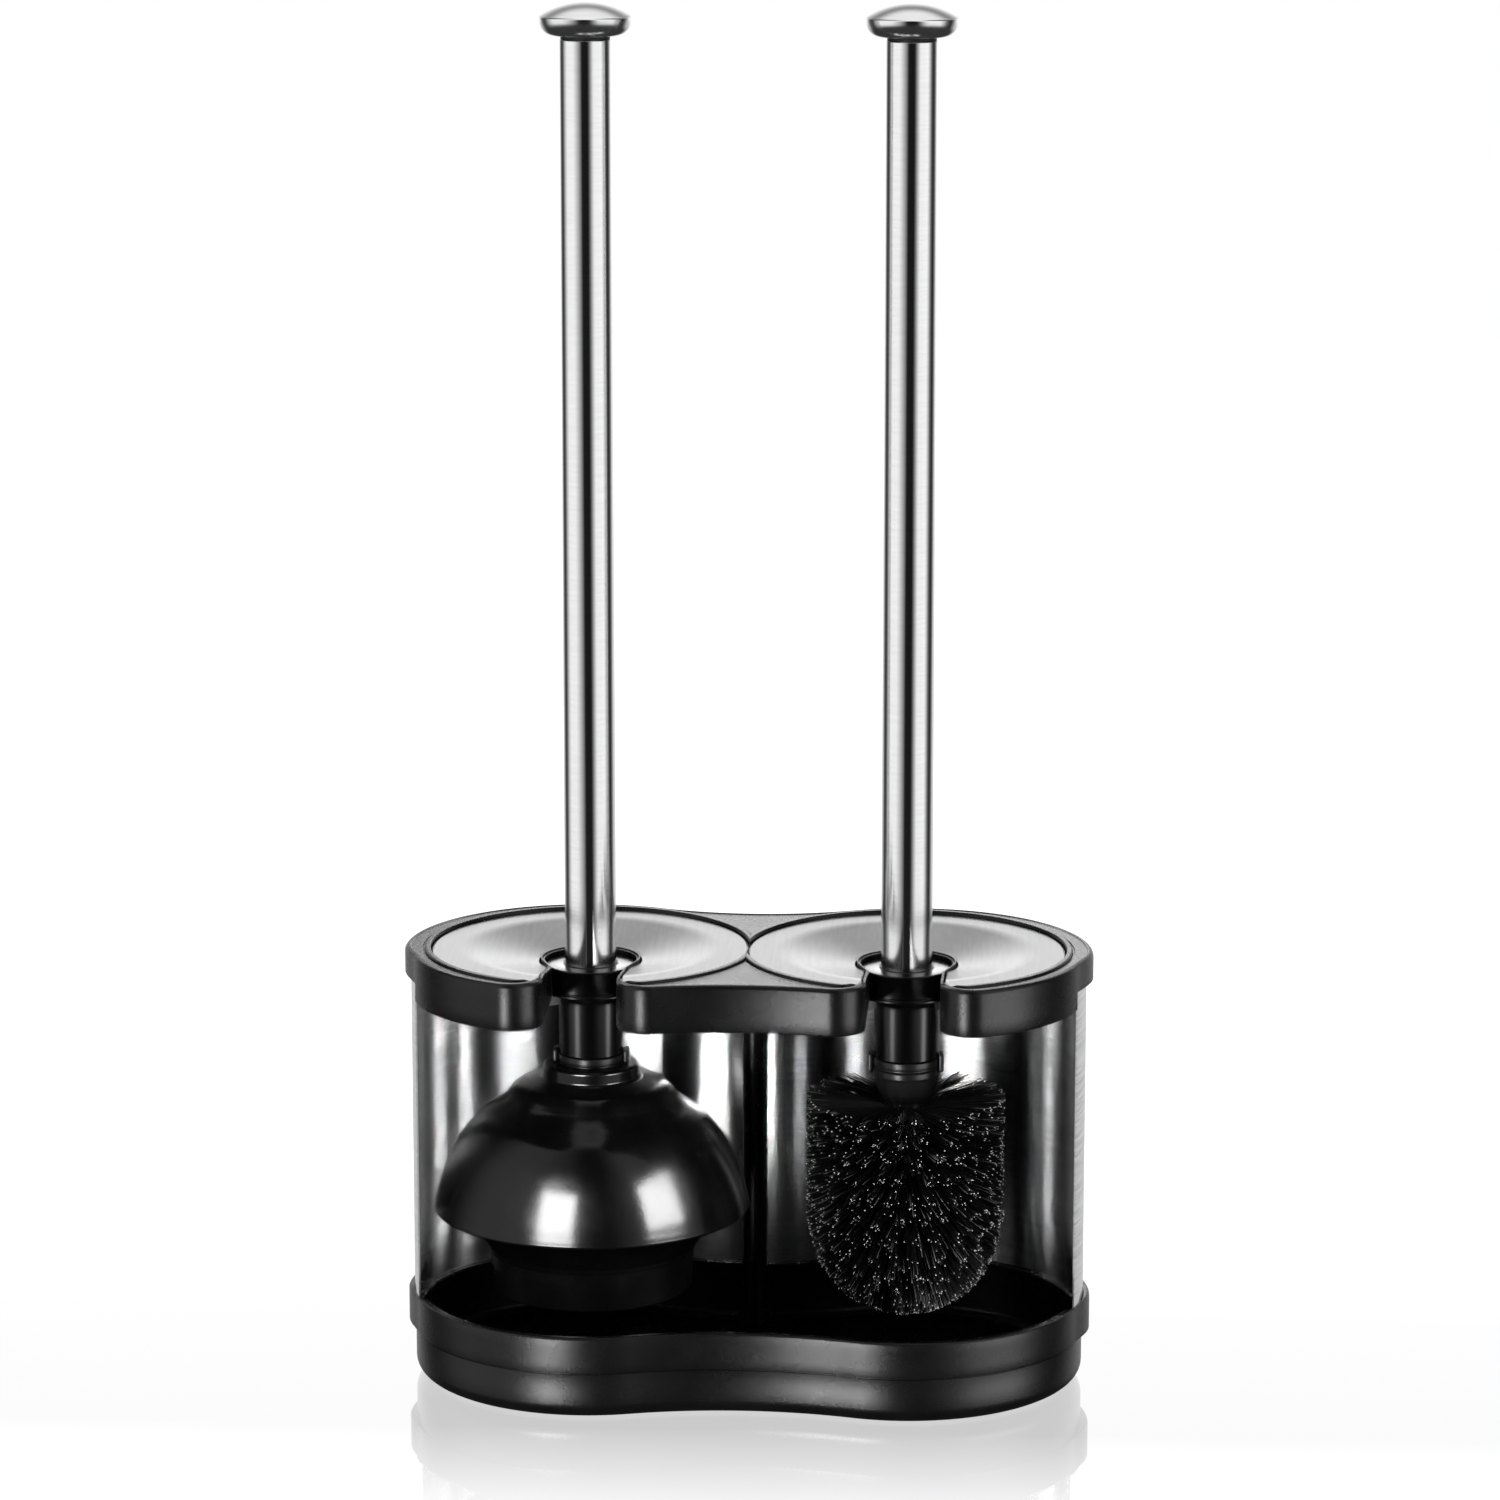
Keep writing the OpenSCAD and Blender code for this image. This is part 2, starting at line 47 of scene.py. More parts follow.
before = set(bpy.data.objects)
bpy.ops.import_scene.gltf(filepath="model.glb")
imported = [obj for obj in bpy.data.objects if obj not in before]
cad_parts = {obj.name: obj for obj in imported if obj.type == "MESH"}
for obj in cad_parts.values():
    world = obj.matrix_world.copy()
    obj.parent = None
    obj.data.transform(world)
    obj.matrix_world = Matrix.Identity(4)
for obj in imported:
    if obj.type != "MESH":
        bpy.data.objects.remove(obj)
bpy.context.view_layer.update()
MM = 0.001
norm = np.linalg.norm
rng = np.random.default_rng(7)


# Measures

def box_mm(node):
    """Lowest and highest corners of a CAD node, in millimetres."""
    low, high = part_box(node)
    return [v / MM for v in low], [v / MM for v in high]


def span(node, axis):
    """Lowest and highest value of a CAD node along one axis."""
    low, high = box_mm(node)
    return low[axis], high[axis]


def half_width(node):
    """Half of a CAD node's size along x."""
    low, high = span(node, 0)
    return (high - low) / 2


LOBE_R = span("tray", 1)[1]  # round ends of the holder's plan
LOBE_X = span("tray", 0)[1] - LOBE_R  # their centres, to each side of the middle
FRONT_X = LOBE_X - 2.6  # the front faces stand in from the side flanges
WAIST_BACK_R = 98.0
WAIST_FRONT_R = 150.0
WALL_FRONT_Y = span("steel_wall", 1)[0]  # front edges of the steel wall
SHEET_R = span("steel_wall", 1)[1]
SHEET_T = 0.6
SHEET_GAP = 0.15  # play of the sheet in the tray's groove
SHEET_Z = span("steel_wall", 2)
TRAY_Z = span("tray", 2)
SEAM_Z = TRAY_Z[1] - 14.5
FLOOR_Z = TRAY_Z[0] + 3.0
TOOL_X = sum(span("brush_tube", 0)) / 2
BEAD_H = 0.9
LID_Z = span("lid_frame", 2)[1] - BEAD_H  # flat top of the lid
BAND_H = 18.5
FLANGE_H = 11.0
DISC_R = half_width("disc_right")
DISC_Z = span("disc_right", 2)[1]  # top of the discs' rims
DISC_T = 0.6
DISC_RIM_W = 10.4
DISC_CORNER_R = 6.0
DISH_DROP = DISC_Z - DISC_T - span("disc_right", 2)[0]
NOTCH_R = 20.2
NOTCH_HALF = 16.0
SLOT_HALF = 14.15
SLOT_CORNER_R = 12.0
SEAT_R = 17.9
SEAT_SHOULDER_Y = -6.0  # where the seat turns into the slot
RECESS = 3.2  # depth of the discs' recess under the dish
LID_UNDER_Z = LID_Z - 9.2  # underside of the lid's plate
KNOB_R = half_width("brush_knob")
TUBE_R = half_width("brush_tube")
TUBE_Z = span("brush_tube", 2)
COLLAR_Z = span("brush_adapter", 2)[1]
NECK_Z = TUBE_Z[0] - 11.0  # lower end of the necks
NECK_R = 12.6
RING_R = 12.9
CUP_TOP_Z = span("plunger_cup", 2)[1]
CUP_LOW_Z = span("plunger_cup", 2)[0]
BELL_R = span("plunger_cup", 1)[1]
BRISTLE_R = span("brush_bristles", 1)[1]
BRISTLE_Z = span("brush_bristles", 2)
CORE_R = 9.0
TUFT_SIZE = 30  # bristles in each tuft
BRISTLE_WIRE_R = 0.18
STRAY_WIRE_R = 0.24


# Mesh tools

def add_object(name, data):
    """Puts a new object in the scene."""
    thing = bpy.data.objects.new(name, data)
    bpy.context.scene.collection.objects.link(thing)
    return thing


def make_piece(name, shape, body, node, look, sharp=35):
    """A mesh piece from points in millimetres, which rides on a body and stands for a CAD node."""
    verts, faces = shape
    slot, material = look
    mesh = bpy.data.meshes.new(name)
    mesh.from_pydata([tuple(c * MM for c in v) for v in verts], [], faces)
    mesh.validate()
    mesh.shade_smooth()
    mesh.set_sharp_from_angle(angle=radians(sharp))
    piece = add_object(name, mesh)
    mesh.materials.append(material)
    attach(piece, body)
    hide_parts(node)
    return piece


def tool_piece(tool, name, shape, part, look, sharp=35):
    """A piece of one tool; part holds the endings of the body's and the node's names."""
    body, node = part
    return make_piece(tool + name, shape, tool + body, tool + node, look, sharp)


def join_parts(parts):
    """Several (verts, faces) pairs as one."""
    verts, faces = [], []
    for part_verts, part_faces in parts:
        start = len(verts)
        verts.extend(tuple(v) for v in part_verts)
        faces.extend(tuple(i + start for i in f) for f in part_faces)
    return verts, faces


def loft(rings, caps=True):
    """Quads between rings of equally many points, with one face over each end."""
    n = len(rings[0])
    verts = [tuple(p) for ring in rings for p in ring]
    last = len(verts) - n
    faces = [(a + i, a + (i + 1) % n, a + n + (i + 1) % n, a + n + i)
             for a in range(0, last, n) for i in range(n)]
    if caps:
        faces += [tuple(range(n - 1, -1, -1)), tuple(range(last, last + n))]
    return verts, faces


def revolve(profile, x, y=0.0, n=128, closed=False):
    """Solid of revolution about the upright line through (x, y); ends of radius 0 become poles."""
    verts, rows, faces = [], [], []
    turns = [2 * pi * i / n for i in range(n)]
    for r, z in profile:
        start = len(verts)
        if r < 1e-6:
            verts.append((x, y, z))
            rows.append([start] * n)
        else:
            verts += [(x + r * cos(a), y + r * sin(a), z) for a in turns]
            rows.append(list(range(start, start + n)))
    if closed:
        rows.append(rows[0])
    for low, high in zip(rows, rows[1:]):
        for i in range(n):
            j = (i + 1) % n
            face = tuple(dict.fromkeys((low[i], low[j], high[j], high[i])))
            if len(face) > 2:
                faces.append(face)
    return verts, faces


def rounded(corners, steps=4, closed=False):
    """Profile through corners of (radius, height, rounding)."""
    n = len(corners)
    points = [np.array(corner[:2], float) for corner in corners]
    path = []
    for i, p in enumerate(points):
        if (not closed and i in (0, n - 1)) or corners[i][2] <= 0:
            path.append(tuple(p))
            continue
        a, b = points[i - 1] - p, points[(i + 1) % n] - p
        la, lb = norm(a), norm(b)
        cut = min(corners[i][2], 0.49 * la, 0.49 * lb)
        start, end = p + a / la * cut, p + b / lb * cut
        for t in [k / steps for k in range(steps + 1)]:
            path.append(tuple((1 - t) ** 2 * start + 2 * t * (1 - t) * p + t * t * end))
    return path


def curve_through(points, steps):
    """Smooth path through all points (Catmull-Rom)."""
    pts = [np.array(p, float) for p in points]
    pts = [2 * pts[0] - pts[1]] + pts + [2 * pts[-1] - pts[-2]]
    path = []
    for i in range(1, len(pts) - 2):
        a, b, c, d = pts[i - 1:i + 3]
        for k in range(steps):
            t = k / steps
            path.append(tuple(0.5 * (2 * b + (c - a) * t + (2 * a - 5 * b + 4 * c - d) * t * t
                                     + (3 * b - a - 3 * c + d) * t ** 3)))
    path.append(tuple(pts[-2]))
    return path


def arc(cx, cy, r, start, end, n):
    """n points along an arc, without its last point; angles in radians."""
    return [(cx + r * cos(start + (end - start) * i / n),
             cy + r * sin(start + (end - start) * i / n)) for i in range(n)]


def smoothstep(x, low, high):
    """0 up to low, 1 from high on, and a smooth step between them."""
    t = np.clip((np.asarray(x, float) - low) / (high - low), 0, 1)
    return t * t * (3 - 2 * t)


def headings(steps):
    """Unit directions along a line and to its left, from the steps between its points."""
    along = steps / norm(steps, axis=1)[:, None]
    return along, np.stack([-along[:, 1], along[:, 0]], axis=1)


def inset(outline, d):
    """A closed counterclockwise outline moved inwards by d, which may differ from point to point."""
    p = np.asarray(outline, float)
    _, inward = headings(np.roll(p, -1, axis=0) - np.roll(p, 1, axis=0))
    return p + inward * np.broadcast_to(d, (len(p),))[:, None]


def quarter(radius, steps, first=0):
    """Points along a quarter round: how far is left one way, and how far it has gone the other."""
    angles = [pi / 2 * k / steps for k in range(first, steps + 1)]
    return [(radius * (1 - sin(a)), radius * (1 - cos(a))) for a in angles]


def with_z(outline, z):
    """Plan points with a height, or with a height for each point."""
    p = np.asarray(outline, float)
    return np.column_stack([p, np.broadcast_to(z, (len(p),))])


# The holder's plan

def half_waists(lobe_x, r):
    """Centre distances and radii of the back and front waist curves for an outline of radius r."""
    back, front = WAIST_BACK_R + LOBE_R - r, WAIST_FRONT_R + LOBE_R - r
    return (sqrt((r + back) ** 2 - lobe_x ** 2), back,
            sqrt((r + front) ** 2 - lobe_x ** 2), front)


def lobed(lobe_x, r, n_lobe=150, n_waist=30):
    """The two-lobed outline, counterclockwise from where the right lobe meets the front waist."""
    hb, rb, hf, rf = half_waists(lobe_x, r)
    back, front = atan2(hb, -lobe_x), atan2(-hf, -lobe_x)
    turn_b, turn_f = atan2(lobe_x, hb), atan2(lobe_x, hf)
    return np.array(
        arc(lobe_x, 0, r, front, back, n_lobe)
        + arc(0, hb, rb, -pi / 2 + turn_b, -pi / 2 - turn_b, n_waist)
        + arc(-lobe_x, 0, r, pi - back, pi - front, n_lobe)
        + arc(0, -hf, rf, pi / 2 + turn_f, pi / 2 - turn_f, n_waist))


def mixed(front_r, back_r, low, high):
    """Outline with the front plan ahead of the wall's edges and the flange plan behind them."""
    front, back = lobed(FRONT_X, front_r), lobed(LOBE_X, back_r)
    w = smoothstep(back[:, 1], low, high)[:, None]
    return (1 - w) * front + w * back


def flared(front_r, back_r):
    """The flanges' outer line: it swells out behind the wall's front edges."""
    return mixed(front_r, back_r, WALL_FRONT_Y, 0)


def stepped(front_r, back_r):
    """An inner line that changes at the wall's front edges."""
    return mixed(front_r, back_r, WALL_FRONT_Y - 2, WALL_FRONT_Y - 0.3)


def step_z(front_z, back_z):
    """Heights that change at the wall's front edges."""
    w = smoothstep(lobed(LOBE_X, LOBE_R)[:, 1], WALL_FRONT_Y - 2, WALL_FRONT_Y - 0.3)
    return front_z + (back_z - front_z) * w


# Materials

NOISE_LOW, NOISE_HIGH = 0.3, 0.7  # most of a noise's values lie between these

def set_sockets(node, **values):
    """Sets a node's own sockets, or links them to outputs; underscores stand for spaces."""
    for name, value in values.items():
        socket = node.inputs[name.replace("_", " ")]
        if isinstance(value, bpy.types.NodeSocket):
            node.id_data.links.new(value, socket)
        else:
            socket.default_value = value


def add_node(tree, kind, **values):
    """A new shader node with its sockets set or linked."""
    node = tree.nodes.new("ShaderNode" + kind)
    set_sockets(node, **values)
    return node


def new_material(name, **values):
    """A Principled material with values set on its own sockets; returns it, its tree and shader."""
    material = bpy.data.materials.new(name)
    material.use_nodes = True
    shader = material.node_tree.nodes["Principled BSDF"]
    set_sockets(shader, **values)
    return material, material.node_tree, shader


def noise(tree, scale, detail=3.0, stretch=(1, 1, 1)):
    """Noise over the object's own coordinates, stretched along its axes."""
    own = add_node(tree, "TexCoord").outputs["Object"]
    stretched = add_node(tree, "Mapping", Scale=stretch, Vector=own).outputs["Vector"]
    return add_node(tree, "TexNoise", Scale=scale, Detail=detail, Vector=stretched).outputs["Fac"]


def spread(tree, value, low, high, start=NOISE_LOW, end=NOISE_HIGH):
    """A value from start to end mapped onto low to high."""
    node = add_node(tree, "MapRange", Value=value, From_Min=start, From_Max=end, To_Min=low,
                    To_Max=high)
    return node.outputs["Result"]


def colour_ramp(tree, value, stops):
    """Colour that runs through stops of (place, colour) with a value."""
    node = add_node(tree, "ValToRGB", Fac=value)
    elements = node.color_ramp.elements
    elements.remove(elements[-1])
    for k, (place, colour) in enumerate(stops):
        element = elements.new(place) if k else elements[0]
        element.position = place
        element.color = (*colour, 1)
    return node.outputs["Color"]


def bump(tree, shader, height, strength, distance):
    """Fine relief on a shader; the distance is in metres."""
    node = add_node(tree, "Bump", Strength=strength, Distance=distance, Height=height)
    set_sockets(shader, Normal=node.outputs["Normal"])


def mottled(tree, shader, value, dark, light, smooth, dull):
    """Colour and roughness that vary together with a value, or each with one of two values."""
    by_colour, by_roughness = value if isinstance(value, tuple) else (value, value)
    colour = colour_ramp(tree, by_colour, ((NOISE_LOW, dark), (NOISE_HIGH, light)))
    set_sockets(shader, Base_Color=colour, Roughness=spread(tree, by_roughness, smooth, dull))


def plastic(name, shade, roughness, grain=0.25):
    """Black moulded plastic with a fine spark-eroded texture and faint mottling."""
    material, tree, shader = new_material(name, Specular_IOR_Level=0.3)
    fine = noise(tree, 2600, 2)
    broad = noise(tree, 60, 4)
    dark, light = (shade * 0.8,) * 3, (shade * 1.25, shade * 1.25, shade * 1.32)
    mottled(tree, shader, broad, dark, light, roughness - 0.01, roughness + 0.015)
    bump(tree, shader, fine, grain, 0.00014)
    return material


def rubber(name, shade, roughness):
    """Moulded rubber: a soft gloss with faint flow marks and dust."""
    material, tree, shader = new_material(name, Specular_IOR_Level=0.26)
    flow = noise(tree, 45, 5, (1, 1, 0.6))
    fine = noise(tree, 900, 3)
    dark, light = (shade * 0.75,) * 3, (shade * 1.4,) * 3
    mottled(tree, shader, flow, dark, light, roughness - 0.05, roughness + 0.07)
    bump(tree, shader, fine, 0.12, 0.00015)
    return material


def brushed(name, shade, roughness, anisotropy, grain, stretch, strength, depth=0.93):
    """Stainless steel with a brushed grain along the surface's horizontal direction."""
    material, tree, shader = new_material(name, Metallic=1.0, Anisotropic=anisotropy,
                                          Anisotropic_Rotation=0.25)
    streaks = noise(tree, grain, 4, stretch)
    broad = noise(tree, 14, 3)
    dark, light = (shade * depth,) * 3, (shade, shade, shade * 1.01)
    mottled(tree, shader, (streaks, broad), dark, light, roughness * 0.9, roughness * 1.12)
    tangent = add_node(tree, "Tangent")
    tangent.direction_type = "RADIAL"
    tangent.axis = "Z"
    set_sockets(shader, Tangent=tangent.outputs["Tangent"])
    bump(tree, shader, streaks, strength, 0.00006)
    return material


def wall_steel():
    """The sheet's steel: its grain follows the sheet round the bends, by the sheet's own layout."""
    material = brushed("wall_steel", 0.92, 0.17, 0.8, 800, (0.06, 0.06, 1), 0.35, 0.7)
    tree = material.node_tree
    tangent = next(n for n in tree.nodes if n.bl_idname == "ShaderNodeTangent")
    tangent.direction_type = "UV_MAP"
    tangent.uv_map = "along"
    return material


def bristle_nylon():
    """Black nylon with a painted highlight: its colour turns near white at the cut tips, by each
    filament's own tip value.
    """
    material, tree, shader = new_material("bristle_nylon", Roughness=0.3, Specular_IOR_Level=0.2)
    tip = add_node(tree, "Attribute")
    tip.attribute_name = "tip"
    # The stops paint the tips' glints into the colour: near black along the bristle, near white at the cut
    # end.
    stops = ((0.5, (0.003,) * 3), (0.78, (0.09,) * 3), (1.0, (0.95,) * 3))
    set_sockets(shader, Base_Color=colour_ramp(tree, tip.outputs["Fac"], stops))
    return material


# Looks: the record's material slot and the material
BLACK = ("black_plastic", plastic("black_plastic", 0.004, 0.27, 0.5))
COLLAR = ("black_plastic", plastic("collar_plastic", 0.004, 0.24, 0.1))
SOCKET = ("socket_plastic", plastic("socket_plastic", 0.009, 0.3))
FOOT = ("foot_rubber", rubber("foot_rubber", 0.008, 0.5))
CUP = ("cup_rubber", rubber("cup_rubber", 0.0006, 0.18))
SHEET = ("brushed_sheet", wall_steel())
DISC = ("satin_disc", brushed("disc_satin", 0.94, 0.2, 0.3, 700, (1, 0.05, 1), 0.12))
TUBE = ("brushed_tube", brushed("tube_brushed", 0.95, 0.15, 0.8, 900, (0.1, 0.1, 1), 0.25))
KNOB = ("polished_knob", brushed("knob_polished", 0.92, 0.17, 0.2, 900, (0.1, 0.1, 1), 0.05))
HARDWARE = ("hardware_steel", brushed("hardware_zinc", 0.55, 0.35, 0.0, 300, (1, 1, 1), 0.1))
NYLON = ("bristle_nylon", bristle_nylon())


# Tray

def tray_base_rings():
    """The base, from the underside up its round lower edge to the groove under the flange."""
    low = LOBE_R - 0.4
    edge_r = 6.0
    rings = [with_z(lobed(FRONT_X, low - edge_r - 1.5), TRAY_Z[0])]
    for side, up in quarter(edge_r, 8):
        rings.append(with_z(lobed(FRONT_X, low - side), TRAY_Z[0] + up))
    for d, z in ((0, -0.55), (0.12, -0.35), (0.45, -0.3), (0.45, 0.05)):
        rings.append(with_z(lobed(FRONT_X, low - d), SEAM_Z + z))
    return rings


def tray_rim_rings():
    """The flange's outside and its round top edge."""
    round_r = 1.1
    rows = [(0.35, SEAM_Z + 0.05), (0.08, SEAM_Z + 0.2), (0, SEAM_Z + 0.6)]
    rows += [(0, z) for z in np.linspace(SEAM_Z + 4, TRAY_Z[1] - round_r, 4)]
    rows += [(up, TRAY_Z[1] - side) for side, up in quarter(round_r, 5, 1)]
    return [with_z(flared(LOBE_R - d, LOBE_R - d), z) for d, z in rows]


def tray_basin_rings():
    """The sheet's groove behind, the plain wall in front, and the round edge of the basin's floor."""
    top, ledge_z = TRAY_Z[1], TRAY_Z[1] - 6.5
    groove_z = top - 12
    out_r, in_r = SHEET_R + SHEET_GAP, SHEET_R - SHEET_T - SHEET_GAP
    front, low_front, low_back = 66.6, 66.5, 64.2
    foot_r = 4
    rings = []
    for front_r, front_z, back_r, back_z in (
            (67.3, top, out_r + 0.3, top), (66.9, top - 0.15, out_r + 0.05, top - 0.2),
            (66.65, top - 0.6, out_r, top - 0.8), (front, top - 2, out_r, groove_z),
            (front, top - 3, in_r, groove_z), (front, top - 4, in_r, ledge_z - 0.5),
            (front, top - 5, in_r - 0.4, ledge_z), (front, top - 6.2, 64.9, ledge_z),
            (front, top - 7, 64.4, ledge_z - 0.5),
            (low_front, FLOOR_Z + foot_r, low_back, FLOOR_Z + foot_r)):
        rings.append(with_z(stepped(front_r, back_r), step_z(front_z, back_z)))
    for side, up in quarter(foot_r, 5, 1):
        rings.append(with_z(stepped(low_front - up, low_back - up), FLOOR_Z + side))
    return rings


POST_R = half_width("center_post")
POST_BACK_Y = span("center_post", 1)[1]
POST_Z = span("center_post", 2)


def post_outline(grow=0.0):
    """Square at the back, round at the front, counterclockwise."""
    r = POST_R + grow
    cy = POST_BACK_Y - POST_R
    back = POST_BACK_Y + min(grow, 0)
    return (arc(0, cy, r, pi, 2 * pi, 24) + [(r, cy), (r, back - 0.8), (r - 0.8, back)]
            + [(-r + 0.8, back), (-r, back - 0.8), (-r, cy + 0.01)])


def extruded(outline_at, z0, z1, edge=0.5):
    """Upright bar with its two ends chamfered; outline_at gives the outline grown by a number."""
    return loft([with_z(outline_at(-edge), z0), with_z(outline_at(0), z0 + edge),
                 with_z(outline_at(0), z1 - edge), with_z(outline_at(-edge), z1)])


def make_tray():
    socket = extruded(lambda g: post_outline(g + 1.9), FLOOR_Z - 0.4, FLOOR_Z + 7, 0.6)
    shell = loft(tray_base_rings() + tray_rim_rings() + tray_basin_rings())
    make_piece("tray_shell", join_parts([shell, socket]), "holder", "tray", BLACK)


def make_pads():
    """Four round pads with two ribs underneath."""
    low, high = box_mm("foot_pads")
    r = 9.0
    profile = [(0, 0.35), (3, 0.35), (3.2, 0), (5.4, 0), (5.6, 0.35), (6.6, 0.35), (6.8, 0),
               (r - 0.8, 0), (r - 0.2, 0.25), (r, 0.8), (r, high[2]), (0, high[2])]
    places = product((low[0] + r, high[0] - r), (low[1] + r, high[1] - r))
    pads = [revolve(profile, x, y, 48) for x, y in places]
    make_piece("foot_pads_ribbed", join_parts(pads), "holder", "foot_pads", FOOT)


def make_post():
    make_piece("post_bar", extruded(post_outline, *POST_Z), "holder", "center_post", BLACK)


# Steel wall

def wall_path(r):
    """The sheet's line from its right front edge, round the back, to its left front edge."""
    outline = lobed(LOBE_X, r, 260, 80)
    start = asin(WALL_FRONT_Y / r)
    path = [p for p in outline if p[1] > WALL_FRONT_Y + 0.05]
    right = [p for p in path if p[0] > 0 and p[1] < 0]
    rest = [p for p in path if not (p[0] > 0 and p[1] < 0)]
    edge = (LOBE_X + r * cos(start), WALL_FRONT_Y)
    return np.array([edge] + right + rest + [(-edge[0], WALL_FRONT_Y)])


def make_wall():
    """The bent sheet, with enough rows of faces for an even reflection."""
    outer = wall_path(SHEET_R)
    _, inward = headings(np.gradient(outer, axis=0))
    inner = outer + inward * SHEET_T
    n = len(outer)
    loop = np.vstack([outer, inner[::-1]])
    heights = [SHEET_Z[0], SHEET_Z[0] + 0.1] + list(np.linspace(SHEET_Z[0] + 8, SHEET_Z[1] - 8, 14))
    heights += [SHEET_Z[1] - 0.1, SHEET_Z[1]]
    verts, faces = loft([with_z(loop, z) for z in heights])
    faces = faces[:-2]
    top = (len(heights) - 1) * 2 * n
    for base, flip in ((0, False), (top, True)):
        for i in range(n - 1):
            quad = (base + i, base + 2 * n - 1 - i, base + 2 * n - 2 - i, base + i + 1)
            faces.append(quad[::-1] if flip else quad)
    piece = make_piece("wall_sheet", (verts, faces), "holder", "steel_wall", SHEET, 50)
    lay_out_along(piece, loop)
    return piece


def lay_out_along(piece, loop):
    """Surface coordinates: u along the sheet, v up it, for the direction of the grain."""
    lengths = np.concatenate([[0], np.cumsum(norm(np.diff(loop, axis=0), axis=1))])
    half = len(loop) // 2
    u = np.where(np.arange(len(loop)) < half, lengths, lengths[half - 1] + lengths[half] - lengths)
    layer = piece.data.uv_layers.new(name="along")
    for item in piece.data.loops:
        z = piece.data.vertices[item.vertex_index].co.z
        layer.data[item.index].uv = (u[item.vertex_index % len(loop)] * MM, z)


# Lid

def dish(r):
    """How far the dish lies under the discs' rims at a distance from the tool's axis."""
    edge = DISC_R - DISC_RIM_W
    blend = 6.0
    slope = DISH_DROP / (edge - NOTCH_R - blend / 2)
    depth = edge - np.asarray(r, float)
    curved = slope * np.clip(depth, 0, blend) ** 2 / (2 * blend)
    straight = slope * np.clip(depth - blend, 0, None)
    return -np.minimum(curved + straight, DISH_DROP)


def slot_path(side):
    """The slot's edge in a lid outline, counterclockwise, for the tool at side * TOOL_X."""
    r = SLOT_CORNER_R
    _, _, hf, rf = half_waists(FRONT_X, LOBE_R)
    cx_in, cx_out = TOOL_X - SLOT_HALF - r, TOOL_X + SLOT_HALF + r
    cy_in = -hf + sqrt((rf + r) ** 2 - cx_in ** 2)
    cy_out = -sqrt((LOBE_R - r) ** 2 - (cx_out - FRONT_X) ** 2)
    shoulder = asin(-SEAT_SHOULDER_Y / SEAT_R)
    path = arc(cx_in, cy_in, r, atan2(-hf - cy_in, -cx_in), 0, 20)
    path += [(cx_in + r, y) for y in np.linspace(cy_in, -14, 14)]
    path += arc(TOOL_X, 0, SEAT_R, pi + shoulder, -shoulder, 60)
    path += [(TOOL_X + SEAT_R * cos(shoulder), SEAT_SHOULDER_Y)]
    path += [(cx_out - r, y) for y in np.linspace(-14, cy_out, 14)]
    path += arc(cx_out, cy_out, r, pi, 2 * pi + atan2(cy_out, cx_out - FRONT_X), 20)
    if side > 0:
        return path
    return [(-x, y) for x, y in reversed(path)]


def lid_outline():
    """The lid's plan with both slots; its line runs counterclockwise from the front's middle."""
    outer = [tuple(p) for p in flared(LOBE_R, LOBE_R)]
    right, left = slot_path(1), slot_path(-1)

    def waist(points, x0, x1):
        return sorted((p for p in points if p[1] < -40 and x0 < p[0] < x1), key=lambda p: p[0])

    middle = waist(outer, left[-1][0] + 0.6, right[0][0] - 0.6)
    start = next(i for i, p in enumerate(outer) if p[0] > right[-1][0] + 0.6 and p[1] > right[-1][1])
    end = max(i for i, p in enumerate(outer) if p[0] < left[0][0] - 0.6 and p[1] > left[0][1])
    return np.array(middle + right + outer[start:end + 1] + left)


def to_axis(points):
    """Distance of plan points from the nearer tool's axis."""
    p = np.asarray(points, float)
    return np.hypot(np.abs(p[:, 0]) - TOOL_X, p[:, 1])


def in_keyhole(points):
    """Whether points lie at a slot's edge or round a collar's seat, not along the lid's outside."""
    p = np.asarray(points, float)
    across = np.abs(np.abs(p[:, 0]) - TOOL_X)
    return (across < SEAT_R + 2.6) & (p[:, 1] > -52.5) & (to_axis(p) < 56)


def lid_top(points):
    """Height of the lid's top: flat outside, following the dish round the keyholes."""
    return LID_Z + np.where(in_keyhole(points), dish(to_axis(points)), 0)


def disc_corner(grow=0.0):
    """Centre of the round corner between a disc's edge and its notch, from the tool's axis."""
    x = (NOTCH_HALF - grow) + (DISC_CORNER_R + grow)
    return x, -sqrt((DISC_R - DISC_CORNER_R) ** 2 - x ** 2)


def disc_edge(grow):
    """Edge of the right disc, counterclockwise, grown outwards by a number."""
    r, half, corner = DISC_R + grow, NOTCH_HALF - grow, DISC_CORNER_R + grow
    notch = NOTCH_R - grow
    cx, cy = disc_corner(grow)
    aim = atan2(cy, cx)
    shoulder = asin(-SEAT_SHOULDER_Y / notch)
    path = arc(0, 0, r, aim, pi - aim, 260)
    path += arc(-cx, cy, corner, pi - aim, 2 * pi, 16)
    path += [(-half, y) for y in np.linspace(cy, -14.5, 24)]
    path += arc(0, 0, notch, pi + shoulder, -shoulder, 70)
    path += [(notch * cos(shoulder), SEAT_SHOULDER_Y)]
    path += [(half, y) for y in np.linspace(-14.5, cy, 24)]
    path += arc(cx, cy, corner, pi, 2 * pi + aim, 16)
    return np.array([(x + TOOL_X, y) for x, y in path])


